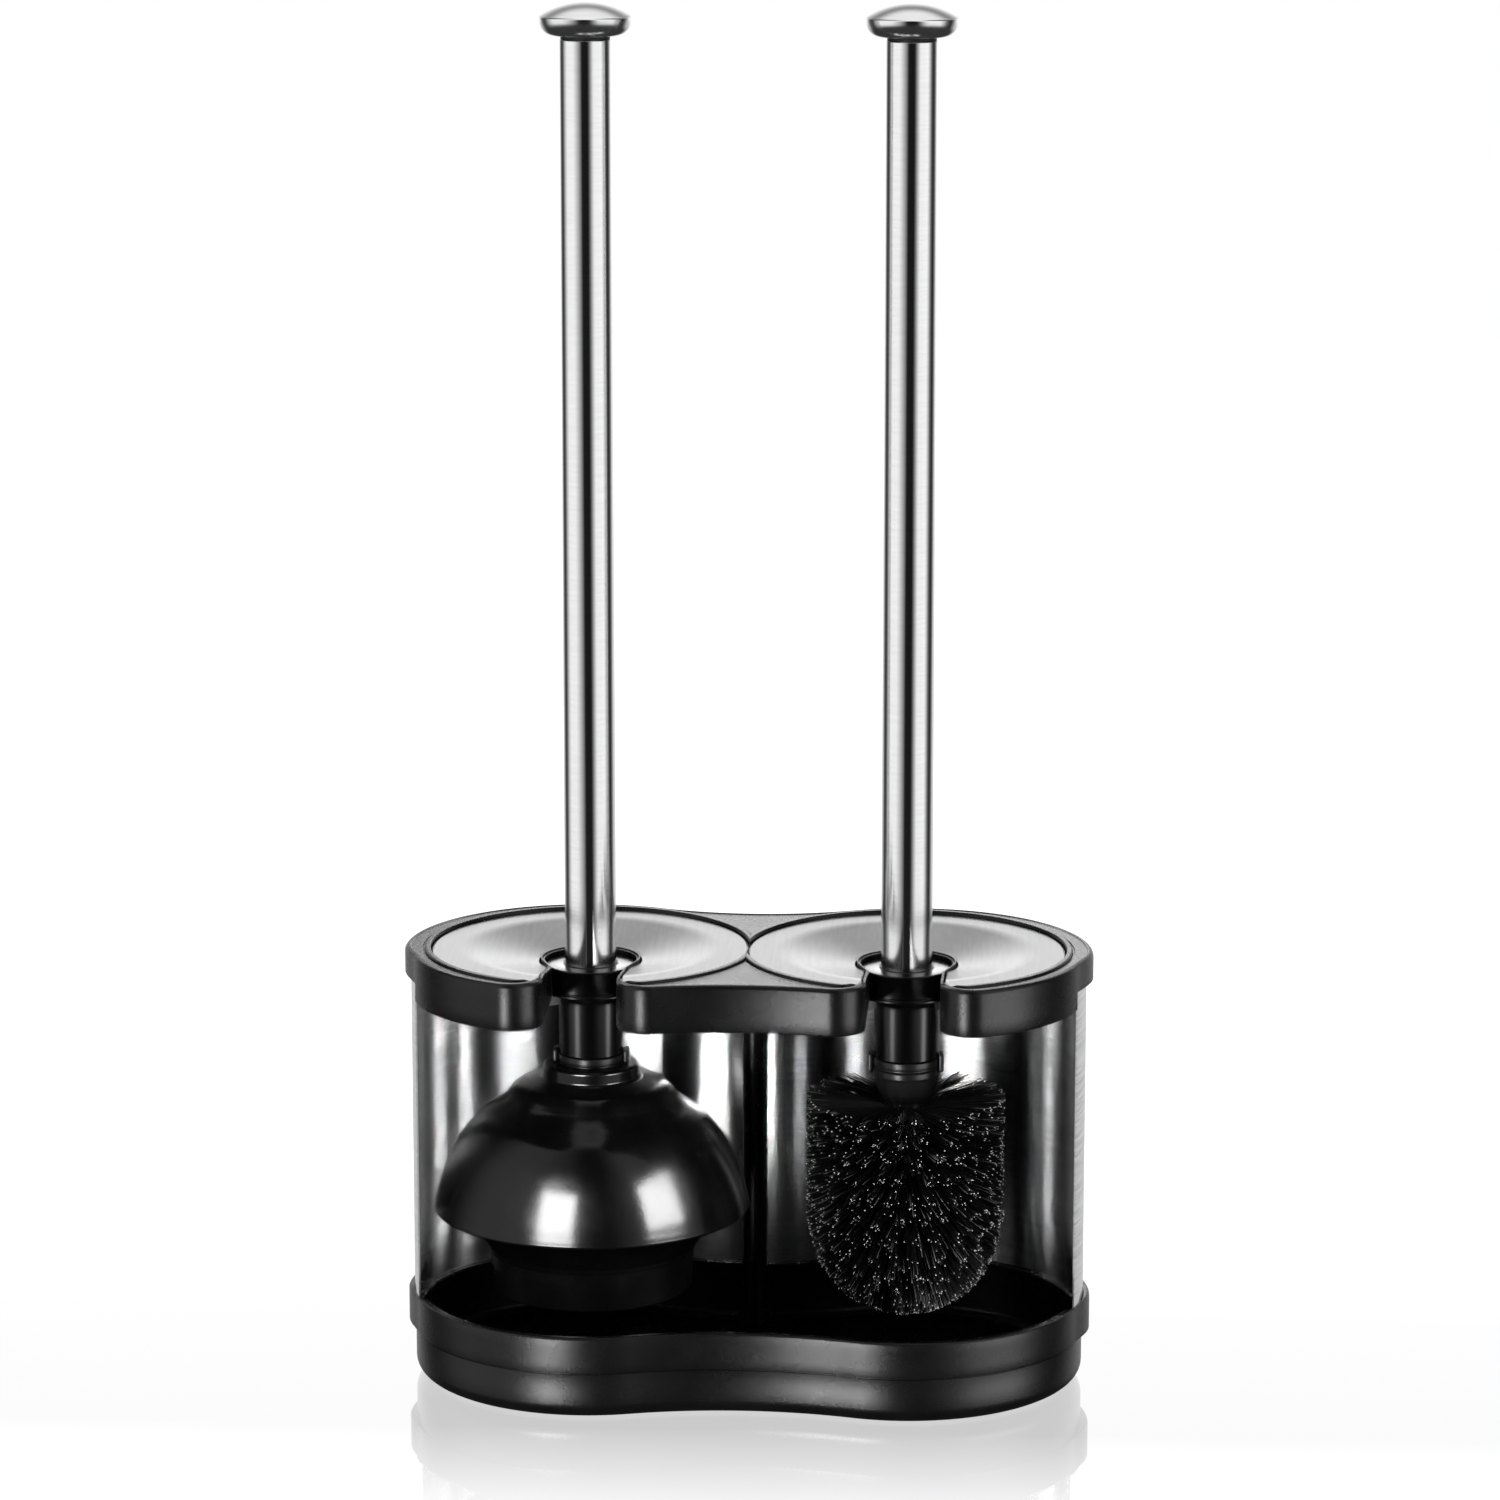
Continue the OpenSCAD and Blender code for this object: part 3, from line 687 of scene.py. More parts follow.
def bead_rings(edge, room):
    """Rings of the bead round one disc: from the recess over its crest and through a fine groove."""
    base = LID_Z + dish(np.hypot(edge[:, 0] - TOOL_X, edge[:, 1]))
    width = np.minimum(3.3, room)
    tall = BEAD_H * smoothstep(width, 0.0, 1.6)
    section = ((0.0, -RECESS), (0.0, 0.4), (0.04, 0.85), (0.1, 1.0), (0.15, 1.0), (0.45, 1.0),
               (0.52, 0.97), (0.62, 0.8), (0.69, 0.45), (0.73, -0.45), (0.93, -0.5), (0.97, -0.05),
               (1.0, 0))
    rings = []
    for across, up in section:
        height = up if up == -RECESS else up * tall
        moved = inset(edge, -across * width)
        moved[:, 0] = np.maximum(moved[:, 0], 0.04 + 0.01 * across)
        rings.append(with_z(moved, base + height))
    return rings


def distance_to(points, outline):
    """Distance of each point from the nearest point of a dense outline."""
    d = norm(np.asarray(points)[:, None, :] - np.asarray(outline)[None, :, :], axis=2)
    return d.min(axis=1)


def densified(outline, step=0.6):
    """The outline with points no further than step apart."""
    out = []
    n = len(outline)
    for i in range(n):
        a, b = outline[i], outline[(i + 1) % n]
        k = max(1, int(ceil(norm(b - a) / step)))
        out.extend(a + (b - a) * j / k for j in range(k))
    return np.array(out)


def fill_between(outer, holes):
    """Triangles between an outer ring and hole rings, all with heights."""
    rings = [outer] + holes
    points = np.vstack(rings)
    loops, start = [], 0
    for ring in rings:
        loops.append(list(range(start, start + len(ring))))
        start += len(ring)
    out = delaunay_2d_cdt([Vector(p[:2]) for p in points], [], loops, 0, 1e-5)
    coords, faces, origins, face_ids = out[0], out[2], out[3], out[5]
    keep = [f for f, ids in zip(faces, face_ids) if 0 in ids and not any(i in ids for i in (1, 2))]
    heights = [points[o[0]][2] if o else LID_Z for o in origins]
    verts = [(c.x, c.y, z) for c, z in zip(coords, heights)]
    return verts, keep


def mirror_ring(ring):
    """A ring of the right side for the left side, with its direction kept."""
    return ring[::-1] * np.array([-1, 1, 1])


def closing_face(ring, z, extra=()):
    """Triangles that close a ring of any plan, through extra points; new ones get the height z."""
    points = [tuple(p) for p in ring] + list(extra)
    flat = [Vector(p[:2]) for p in points]
    out = delaunay_2d_cdt(flat, [], [list(range(len(ring)))], 2, 1e-5)
    verts = [(c.x, c.y, points[o[0]][2] if o else z) for c, o in zip(out[0], out[3])]
    return verts, [tuple(f) for f in out[2]]


def recess_floor(ring):
    """Closes a disc's recess under the disc, with the dish's shape."""
    cx = TOOL_X if ring[:, 0].mean() > 0 else -TOOL_X
    extra = []
    for r in range(24, 55, 6):
        z = LID_Z + float(dish(r)) - RECESS
        extra += [(x, y, z) for x, y in arc(cx, 0, r, 0, 2 * pi, 72)
                  if abs(x - cx) > NOTCH_HALF + 1.5 or y > 0]
    return closing_face(ring, LID_Z - 4, extra)


def seat_ledge(side):
    """The ledge under a collar, open to the front."""
    low, high, top = LID_Z - BAND_H - 3.0, LID_Z - BAND_H + 0.4, LID_Z - 10
    inner, outer = SLOT_HALF, SEAT_R + 3.6
    section = [(inner, low), (outer - 0.4, low), (outer, low + 0.4), (outer, top),
               (SEAT_R, top), (SEAT_R, high), (inner + 0.3, high), (inner, high - 0.3)]
    rings = []
    for a in np.linspace(-radians(38), pi + radians(38), 80):
        c, s = cos(a), sin(a)
        rings.append([(side * TOOL_X + r * c, r * s, z) for r, z in section])
    return loft(rings)


def lid_wall_rings(outline):
    """The lid's side, from under the plate, round the lower edge, to a thin lip round the top."""
    key = in_keyhole(outline)
    side_w = smoothstep(outline[:, 1], WALL_FRONT_Y - 2, WALL_FRONT_Y - 0.3) * ~key
    bottom = LID_Z - BAND_H + (BAND_H - FLANGE_H) * side_w
    thick = np.where(key, 1.6, 3.4 - 1.0 * side_w)
    top = lid_top(outline)
    edge = np.where(key, 0.45, 1.9)
    lip = np.where(key, 0.0, 0.3)
    rows = [(thick, np.maximum(LID_UNDER_Z, bottom + 1.0)), (thick, bottom + 0.3),
            (thick - 0.3, bottom), (0.7, bottom), (0.2, bottom + 0.2), (0.0, bottom + 0.7)]
    rings = [with_z(inset(outline, d), z) for d, z in rows]
    rings += [with_z(outline, bottom + (top - edge - bottom - 0.7) * t + 0.7) for t in (0.33, 0.66)]
    rows = [(edge * up, top + lip - edge * side) for side, up in quarter(1, 6)]
    rows += [(edge + np.where(key, 0.02, 0.3), top + lip), (edge + np.where(key, 0.04, 0.65), top)]
    return rings + [with_z(inset(outline, d), z) for d, z in rows]


def make_lid():
    """The whole lid: its sides, top, beads, recesses, underside and seat ledges."""
    outline = densified(lid_outline(), 1.2)
    walls = lid_wall_rings(outline)
    top_ring = walls[-1]
    edge = disc_edge(0.8)
    room = distance_to(edge, densified(top_ring[:, :2], 0.3)) - 0.06
    centre_room = np.maximum(edge[:, 0] - 0.05, 0.02)
    right = bead_rings(edge, np.minimum(room, np.where(np.abs(edge[:, 1]) < 30, centre_room * 40, 9)))
    left = [mirror_ring(r) for r in right]
    parts = [loft(walls, caps=False), loft(right, caps=False), loft(left, caps=False)]
    parts.append(fill_between(top_ring, [right[-1], left[-1]]))
    parts += [recess_floor(right[0]), recess_floor(left[0])]
    parts.append(closing_face(walls[0], LID_UNDER_Z))
    parts += [seat_ledge(1), seat_ledge(-1)]
    tidy_mesh(make_piece("lid_moulding", join_parts(parts), "holder", "lid_frame", BLACK, 30))


def tidy_mesh(piece):
    """Merges points that lie on each other, turns faces outwards and marks the edges of flat tops."""
    work = bmesh.new()
    work.from_mesh(piece.data)
    bmesh.ops.remove_doubles(work, verts=work.verts, dist=0.01 * MM)
    bmesh.ops.recalc_face_normals(work, faces=work.faces)
    work.normal_update()
    for edge in work.edges:
        flat = [face.normal.z > 0.9999 for face in edge.link_faces]
        if any(flat) and not all(flat):
            edge.smooth = False
    work.to_mesh(piece.data)
    work.free()


def ray_span(a):
    """Where a ray from the tool's axis at an angle enters and leaves the disc."""
    c, s = abs(cos(a)), sin(a)
    inner, outer = NOTCH_R, DISC_R
    if s >= 0:
        return inner, outer
    side_line = NOTCH_HALF / max(c, 1e-6)
    if side_line > NOTCH_R * 1.02:
        inner = side_line
    cx, cy = disc_corner()
    along = cx * c + cy * s
    off = DISC_CORNER_R ** 2 - (cx ** 2 + cy ** 2 - along ** 2)
    if off >= 0 and side_line > cy / s:
        inner = along - sqrt(off)
    if off >= 0 and atan2(s, c) < atan2(cy, cx):
        outer = along + sqrt(off)
    return inner, outer


def make_disc(side):
    """A pressed steel disc: flat rim, dish, keyhole notch and a softly turned edge."""
    turned = 0.28
    cx, cy = disc_corner()
    last = atan2(cy, cx) - asin(DISC_CORNER_R / hypot(cx, cy)) * 0.9995
    sections = []
    for a in last + (pi - 2 * last) * np.linspace(0, 1, 300):
        inner, outer = ray_span(a)
        radii = inner + (outer - inner) * np.linspace(0, 1, 64)
        roll = turned * (1 - smoothstep(np.minimum(radii - inner, outer - radii), 0.0, 0.7))
        z = DISC_Z + dish(radii) - roll
        under = z + 2 * roll - DISC_T - turned * (roll > 0.2)
        x, y = side * TOOL_X + radii * cos(a), radii * sin(a)
        sections.append(np.vstack([np.column_stack([x, y, z]), np.column_stack([x, y, under])[::-1]]))
    name = "disc_right" if side > 0 else "disc_left"
    tidy_mesh(make_piece(name + "_pressing", loft(sections), "holder", name, DISC, 40))


# Handles

TOOLS = (("plunger", -TOOL_X), ("brush", TOOL_X))  # name and place


def make_knob(tool, x):
    """Cap with a flaring side, a rounded edge and a shallow dome."""
    low, high = span(tool + "_knob", 2)
    edge = high - 5.0
    r = KNOB_R
    side = rounded(((0, low, 0), (12.4, low, 0.9), (14.9, low + 0.8, 1.2), (16.7, low + 2.7, 1.3),
                    (r + 0.05, low + 4.9, 1.0), (r + 0.3, edge - 0.3, 0.4), (r - 0.2, edge + 0.2, 0)), 6)
    dome = [((r - 0.2) * sin(a), edge + 0.2 + (high - edge - 0.2) * (1 - sin(a) ** 2.1))
            for a in np.linspace(pi / 2, 0, 26)[1:]]
    tool_piece(tool, "_knob_cap", revolve(side + dome, x), ("_handle", "_knob"), KNOB, 28)


def make_knob_ring(tool, x):
    """Thin gasket between the knob and the tube."""
    z0, z1 = span(tool + "_knob_ring", 2)
    r = TUBE_R - 0.6
    path = rounded(((3.1, z0, 0), (r, z0, 0.3), (r, z1, 0.3), (3.1, z1, 0)))
    tool_piece(tool, "_knob_gasket", revolve(path, x, closed=True), ("_handle", "_knob_ring"), FOOT)


def make_tube(tool, x):
    """Steel tube with softly cut ends."""
    z0, z1 = TUBE_Z
    r, bore = TUBE_R, TUBE_R - 0.8
    path = [(r - 0.25, z0), (r, z0 + 0.25)] + [(r, z) for z in np.linspace(z0 + 4, z1 - 4, 24)]
    path += [(r, z1 - 0.25), (r - 0.25, z1), (bore, z1), (bore, z0)]
    shape = revolve(path, x, n=160, closed=True)
    tool_piece(tool, "_tube_brushed", shape, ("_handle", "_tube"), TUBE)


def make_adapter(tool, x):
    """Collar, neck and spigot with its two pins."""
    low = span(tool + "_adapter", 2)[0]
    seat = span(tool + "_adapter", 2)[1] - 11.2
    bore = low + 20.4
    r, tube, spigot = KNOB_R, TUBE_R + 0.02, 9.0
    corners = ((tube, bore, 0), (tube, COLLAR_Z - 0.9, 0), (TUBE_R + 0.9, COLLAR_Z, 0.2),
               (r, COLLAR_Z, 0.7), (r, seat + 2.2, 0.15), (r - 0.35, seat + 1.9, 0.1),
               (r - 0.35, seat + 1.5, 0.1), (r, seat + 1.2, 0.15), (r, seat, 0.5),
               (NECK_R + 1.6, seat, 0.3), (NECK_R + 1.0, seat - 1.4, 0.3),
               (NECK_R + 0.15, seat - 2.2, 0.6), (NECK_R, seat - 4, 0.6), (NECK_R, NECK_Z, 0.45),
               (spigot, NECK_Z, 0.2), (spigot, low + 0.6, 0.2), (spigot - 0.6, low, 0.2), (0, low, 0),
               (0, bore, 0))
    parts = [revolve(rounded(corners), x), pin_pair(x, NECK_Z - 4, 1.4, 10.6)]
    tool_piece(tool, "_collar_neck", join_parts(parts), ("_handle", "_adapter"), COLLAR)


def pin_pair(x, z, r, reach):
    """The coupling's two pins, as one bar across the spigot."""
    rings = []
    for s, k in ((-reach, 0.6), (-reach + 0.5, 1), (reach - 0.5, 1), (reach, 0.6)):
        rings.append([(x + s, r * k * cos(a), z + r * k * sin(a))
                      for a in np.linspace(0, 2 * pi, 24, endpoint=False)])
    return loft(rings)


def rounded_block(centre, size, r):
    """A block with rounded edges: a grid on each face, pushed onto a rounded box."""
    verts, faces, index = [], [], {}
    half = np.array(size) / 2
    steps = np.concatenate([np.linspace(-1, -0.6, 5), np.linspace(0.6, 1, 5)])

    def vertex(p):
        key = tuple(np.round(p, 5))
        if key not in index:
            q = np.array(p) * half
            core = np.clip(q, -(half - r), half - r)
            length = norm(q - core)
            q = core + (q - core) / length * r if length > 0 else q
            index[key] = len(verts)
            verts.append(tuple(centre + q))
        return index[key]

    for axis, sign in product(range(3), (-1, 1)):
        for i, j in product(range(len(steps) - 1), repeat=2):
            quad = []
            for a, b in ((i, j), (i + 1, j), (i + 1, j + 1), (i, j + 1)):
                p = [steps[a], steps[b]]
                p.insert(axis, sign)
                quad.append(vertex(p))
            faces.append(tuple(quad[::-1] if (sign > 0) == (axis == 1) else quad))
    return verts, faces


def make_socket(tool, x):
    """Twist ring with its two rounded ears; the stem under it goes into the head."""
    low = span(tool + "_socket", 2)[0]
    ring_top = NECK_Z - 0.1
    bore, stem, seam = 9.1, 11.0, RING_R - 0.35
    foot = CUP_TOP_Z
    path = rounded(((bore, ring_top, 0), (bore, low, 0), (stem, low, 0), (stem, foot, 0),
                        (RING_R, foot, 0.3), (RING_R, foot + 0.7, 0.1), (seam, foot + 0.9, 0.1),
                        (seam, foot + 1.2, 0.1), (RING_R, foot + 1.4, 0.1), (RING_R, ring_top, 0.5)),
                       closed=True)
    ear_low, ear_high = foot if tool == "plunger" else NECK_Z - 6.0, NECK_Z + 1.6
    ears = [rounded_block((x + side * (RING_R + 0.95), 0, (ear_low + ear_high) / 2),
                          (2.1, 7.0, ear_high - ear_low), 1.0) for side in (-1, 1)]
    shape = join_parts([revolve(path[::-1], x, closed=True)] + ears)
    tool_piece(tool, "_twist_ring", shape, ("_head", "_socket"), SOCKET)


# Plunger head

def make_cup():
    """Bell and inner flange in one moulding, with the stepped shoulders of the rubber."""
    top, low, r = CUP_TOP_Z, CUP_LOW_Z, BELL_R
    lip = low + 32.0
    collar = rounded(((11, top, 0), (18.0, top, 0.5), (18.9, top - 0.8, 0.9), (18.9, top - 4.9, 0.6),
                      (19.6, top - 5.6, 0)))
    shoulder = curve_through([(19.8, top - 5.8), (24.5, top - 6.9), (28.6, top - 8.1), (31.0, top - 10.0),
                              (32.9, top - 12.4), (34.6, top - 14.6), (37.4, top - 17.0),
                              (41.0, top - 19.2), (45.6, top - 22.6), (51.2, top - 29.4),
                              (55.2, top - 36.4), (58.2, top - 43.2), (60.4, top - 49.6),
                              (61.7, top - 55.0), (r - 0.1, top - 57.4)], 6)
    edge = rounded(((r, lip + 1.1, 0.3), (r - 0.4, lip + 0.2, 0.4), (r - 1.9, lip + 0.1, 0.5),
                    (r - 3.2, lip + 1.4, 0)))
    fold = curve_through([(r - 3.6, lip + 2.0), (r - 6.0, lip + 2.4), (52.6, lip - 1.0), (49.6, lip - 3.9),
                          (45.4, lip - 8.8), (42.2, lip - 12.9), (41.0, lip - 14.6)], 5)
    band = rounded(((41.0, lip - 15.2, 0.3), (40.5, lip - 16.4, 0.4), (40.1, lip - 20, 0),
                    (39.5, low + 3.2, 0), (39.3, low + 0.8, 0.4), (38.6, low, 0.5), (36.9, low, 0.5),
                    (36.3, low + 0.8, 0)))
    inside = curve_through([(36.6, low + 4), (37.4, lip - 17), (46.5, lip - 4), (r - 9, lip + 7),
                            (54.4, 84), (48, 94.5), (40, 102.5), (34.5, 106), (21, 106.5), (18, 108.5),
                            (11, 108.5)], 5)
    path = collar + shoulder + edge + fold + band + inside
    shape = revolve(path[::-1], -TOOL_X, n=160, closed=True)
    return make_piece("plunger_rubber", shape, "plunger_head", "plunger_cup", CUP, 45)


# Brush head

def make_core():
    """Ring and tapering neck over the core that holds the tufts."""
    low = span("brush_core", 2)[0]
    top = CUP_TOP_Z
    path = rounded(((0, low, 0), (5.4, low + 1, 1), (CORE_R, low + 6, 2), (CORE_R, top - 13.4, 0.6),
                        (10.6, top - 10.4, 0.6), (12.3, top - 3.8, 0.4), (12.9, top - 3.0, 0.4),
                        (12.9, top - 0.6, 0.4), (12.4, top, 0.3), (11.0, top, 0), (11.0, top - 5.0, 0),
                        (0, top - 5.0, 0)), 5)
    make_piece("brush_neck_core", revolve(path, TOOL_X), "brush_head", "brush_core", SOCKET)


def tip_radius(z):
    """Radius of the trimmed bristles at a height: straight above, round at the bottom."""
    low, belly = BRISTLE_Z[0], 46.0
    t = np.clip((np.asarray(z, float) - low) / belly, 0, 1)
    return BRISTLE_R * np.sqrt(1 - (1 - t) ** 2.35)


def tuft_rows():
    """Heights of the tips, heights of the roots and number of tufts for each row of tufts."""
    low, high = BRISTLE_Z
    tips = [high - 2.5, high - 10, high - 18, high - 26, high - 34, high - 42, high - 50, high - 58,
            high - 65.5, high - 72.5, low + 10.5, low + 5.5, low + 2.0, low + 0.4]
    rows = []
    for k, z in enumerate(tips):
        t = k / (len(tips) - 1)
        root = high - 4.5 - (high - 4.5 - low - 19.5) * t ** 0.92
        rows.append((z, root, max(3, int(round(26 * float(tip_radius(z)) / BRISTLE_R)))))
    return rows


def filament(root, tip, bow, r):
    """Five-point path of one bristle from root to tip, bowed sideways, and its radius."""
    run = tip - root
    return [root, root + run * 0.4 + bow, root + run * 0.75 + bow * 0.8, root + run * 0.965, tip], r


def bristle_paths():
    """Every bristle's path; the draws run in one fixed order."""
    paths = []
    for k, (z_tip, z_root, count) in enumerate(tuft_rows()):
        for i in range(count):
            a = 2 * pi * (i + 0.5 * (k % 2)) / count + rng.normal(0, 0.03)
            reach = float(tip_radius(z_tip))
            out = np.array([cos(a), sin(a), 0])
            side = np.array([-sin(a), cos(a), 0])
            up = np.array([0, 0, 1.0])
            lean = rng.normal(0, 0.9, 2)
            for _ in range(TUFT_SIZE):
                spin, off = rng.uniform(0, 2 * pi), abs(rng.normal(0, 1))
                du, dv = off * cos(spin), off * sin(spin)
                zt = z_tip + lean[0] + 2.6 * dv
                zt = min(max(zt, BRISTLE_Z[0] + 0.15), BRISTLE_Z[1] - 0.2)
                rt = float(tip_radius(zt)) - 0.4 - abs(rng.normal(0, 0.7))
                rt = min(rt, reach + 6)
                across = (2.6 * du + lean[1]) * min(1.0, reach / 20)
                tip = out * sqrt(max(rt * rt - across * across, 0.2)) + side * across + up * zt
                root_r = CORE_R - 1.0 if z_root > BRISTLE_Z[0] + 21 else 5.0
                root = out * root_r + side * 0.5 * du + up * (z_root + 0.5 * dv)
                bow = side * rng.normal(0, 0.5) + up * rng.normal(0, 0.5)
                paths.append(filament(root, tip, bow, BRISTLE_WIRE_R))
    return paths + stray_paths()


def stray_paths():
    """A few bent bristles that stand up beside the neck."""
    strays = []
    for x, y, z, x2, z2, bend in ((13, -4, 112, 21, 124.5, 1.6), (14, -6, 111.5, 28, 121.5, 0.6),
                                  (13.5, -5, 112, 26.5, 120, 0.9), (-14, 3, 112, -29, 117.6, 0.8),
                                  (15, 2, 112, 35, 116.6, 1.1)):
        root, tip = np.array([x * 0.7, y * 0.7, z]), np.array([x2, y * 1.2, z2])
        strays.append(filament(root, tip, np.array([0, 0, bend]), STRAY_WIRE_R))
    return strays


# Painted highlight: how pale a bristle's colour is at each point of its path, and how often each kind
# occurs
TIP_PAINTED_HIGHLIGHTS = [(0, 0, 0.1, 0.3, 0.6), (0, 0.1, 0.6, 0.8, 0.84), (0, 0, 0, 0.45, 1)]
TIP_SHARES = (0.6, 0.1, 0.3)


def filament_verts(path, r, shade):
    """Three points round each point of a path; points with the brightest painted highlight stand out
    further.
    """
    along = path[-1] - path[0]
    along /= norm(along)
    u = np.cross(along, (0, 0, 1.0))
    u = u / norm(u) if norm(u) > 1e-3 else np.array([1.0, 0, 0])
    v = np.cross(along, u)
    verts = []
    for p, painted_glint in zip(path, shade):
        for a in (0, 2 * pi / 3, 4 * pi / 3):
            q = p + (u * cos(a) + v * sin(a)) * r * (1.35 if painted_glint > 0.84 else 1)
            verts.append((q[0] + TOOL_X, q[1], q[2]))
    return verts


def make_bristles():
    """All bristles as three-sided filaments in one mesh, with a painted-highlight value that rises towards
    the tips.
    """
    parts, tips = [], []
    for path, r in bristle_paths():
        # Each bristle takes one kind of painted tip highlight, a little dimmer or brighter at random.
        shade = np.array(rng.choice(TIP_PAINTED_HIGHLIGHTS, p=TIP_SHARES)) * rng.uniform(0.8, 1)
        verts = filament_verts(path, r, shade)
        faces = [(k + j, k + (j + 1) % 3, k + 3 + (j + 1) % 3, k + 3 + j)
                 for k in range(0, len(verts) - 3, 3) for j in range(3)]
        end = len(verts)
        parts.append((verts, faces + [(2, 1, 0), (end - 3, end - 2, end - 1)]))
        tips.extend(np.repeat(shade, 3))
    piece = make_piece("brush_tufts", join_parts(parts), "brush_head", "brush_bristles", NYLON, 80)
    # The tip value carries the painted highlight to the material.
    layer = piece.data.attributes.new("tip", "FLOAT", "POINT")
    layer.data.foreach_set("value", tips)
    return piece


# Hidden pieces keep their CAD shape

def finish_cad_nodes():
    """Materials for the pieces that stay as CAD made them."""
    looks = {"post_screw": HARDWARE, "plunger_cup_washer": HARDWARE, "plunger_cup_screw": HARDWARE}
    for tool, _ in TOOLS:
        looks[tool + "_knob_stud"] = HARDWARE
        looks[tool + "_tube_plug"] = SOCKET
    for node, (_, material) in looks.items():
        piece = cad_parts[node]
        piece.data.materials.clear()
        piece.data.materials.append(material)


# Studio

FLOOR_HALF = 3.0  # metres
BOX_AWAY = 1.3  # metres from the set's middle to the soft boxes
SET_MIDDLE = (0, 0, 0.1)


def display(value):
    """Scene light for a value as it shows on screen."""
    return value / 12.92 if value <= 0.04045 else ((value + 0.055) / 1.055) ** 2.4


def grey_ramp(tree, value, stops, first, whole):
    """Grey over a 0 to 1 value, which stands for a number of degrees from the first on."""
    stops = [((degrees - first) / whole, (display(shade),) * 3) for degrees, shade in stops]
    return colour_ramp(tree, value, stops)


def math_node(tree, operation, *values):
    """One step of arithmetic on numbers or other nodes' outputs."""
    node = add_node(tree, "Math")
    node.operation = operation
    for socket, value in zip(node.inputs, values):
        if isinstance(value, float):
            socket.default_value = value
        else:
            tree.links.new(value, socket)
    return node.outputs[0]


# Studio panels round the set: degrees from the front towards the right, and brightness
PANELS = ((-180, 0.78), (-150, 0.62), (-128, 0.36), (-118, 0.16), (-108, 0.4), (-97, 0.75), (-84, 0.97),
          (-53, 0.98), (-44, 0.9), (-24, 0.6), (-18, 0.45), (-12, 0.1), (15, 0.08), (22, 0.42),
          (31, 0.75), (40, 0.97), (77, 1.0), (88, 0.78), (98, 0.42), (108, 0.2), (118, 0.16),
          (128, 0.5), (138, 0.72), (180, 0.78))
# Brightness behind and over the set: degrees above the horizon, and brightness
SKY = ((-90, 0.7), (-14, 0.8), (-6, 1.04), (2, 1.02), (12, 0.93), (22, 0.73), (30, 0.53), (36, 0.57),
       (47, 0.95), (90, 1.0))


def make_world():
    """Panels round the set, a sky behind and over it, dark below, and white where the camera looks."""
    world = bpy.data.worlds.new("studio")
    bpy.context.scene.world = world
    world.use_nodes = True
    tree = world.node_tree
    coords = add_node(tree, "TexCoord")
    x, y, z = add_node(tree, "SeparateXYZ", Vector=coords.outputs["Generated"]).outputs
    turn = math_node(tree, "ARCTAN2", x, math_node(tree, "MULTIPLY", y, -1.0))
    turn = math_node(tree, "ADD", math_node(tree, "DIVIDE", turn, 2 * pi), 0.5)
    rise = math_node(tree, "ADD", math_node(tree, "DIVIDE", math_node(tree, "ARCSINE", z), pi), 0.5)
    aside = math_node(tree, "ABSOLUTE", math_node(tree, "SUBTRACT", turn, 0.5))
    panels = grey_ramp(tree, turn, PANELS, -180, 360)
    sky = grey_ramp(tree, rise, SKY, -90, 180)
    high = grey_ramp(tree, rise, ((70, 0), (84, 1)), -90, 180)
    behind = grey_ramp(tree, aside, ((132, 0), (150, 1)), 0, 360)
    low = grey_ramp(tree, rise, ((-28, 1), (-17, 0)), -90, 180)
    lit = blend(tree, math_node(tree, "MAXIMUM", high, behind), panels, sky)
    lit = blend(tree, low, lit, (0.035, 0.035, 0.035, 1))
    seen = add_node(tree, "LightPath").outputs["Is Camera Ray"]
    set_sockets(tree.nodes["Background"], Color=blend(tree, seen, lit, (1, 1, 1, 1)))


def blend(tree, factor, a, b):
    """Mix of two colours."""
    node = add_node(tree, "Mix")
    node.data_type = "RGBA"
    set_sockets(node, Factor=factor, A=a, B=b)
    return node.outputs["Result"]


def floor_material():
    """Glowing white under a mirror that fades away from the set."""
    material, tree, _ = new_material("floor_white")
    glow = add_node(tree, "Emission", Strength=1.55)
    mirror = add_node(tree, "BsdfGlossy", Color=(1, 1, 1, 1), Roughness=0.03)
    own = add_node(tree, "TexCoord").outputs["Object"]
    away = math_node(tree, "ABSOLUTE", add_node(tree, "SeparateXYZ", Vector=own).outputs["Y"])
    mix = add_node(tree, "MixShader", Fac=spread(tree, away, 0.62, 0.26, 0.075, 0.22))
    tree.links.new(glow.outputs[0], mix.inputs[1])
    tree.links.new(mirror.outputs[0], mix.inputs[2])
    set_sockets(tree.nodes["Material Output"], Surface=mix.outputs[0])
    return material


def make_floor():
    """Large white plane that the pieces neither mirror nor take light from."""
    mesh = bpy.data.meshes.new("floor")
    corners = ((-1, -1), (1, -1), (1, 1), (-1, 1))
    mesh.from_pydata([(x * FLOOR_HALF, y * FLOOR_HALF, 0) for x, y in corners], [], [(0, 1, 2, 3)])
    floor = add_object("floor", mesh)
    mesh.materials.append(floor_material())
    floor.visible_glossy = False
    floor.visible_diffuse = False
    floor.visible_shadow = False
    floor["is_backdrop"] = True
    return floor


def make_camera():
    """Long lens a little to the right of the front and 12 degrees above, with plain colours."""
    target, away = Vector((0.00063, 0, 0.2509)), 2.2
    back = direction(3.09, 11.95)
    data = bpy.data.cameras.new("camera")
    data.lens = 136.25
    data.sensor_width = 36
    camera = add_object("camera", data)
    camera.location = target + back * away
    camera.rotation_euler = (-back).to_track_quat("-Z", "Y").to_euler()
    bpy.context.scene.camera = camera
    bpy.context.scene.view_settings.view_transform = "Standard"


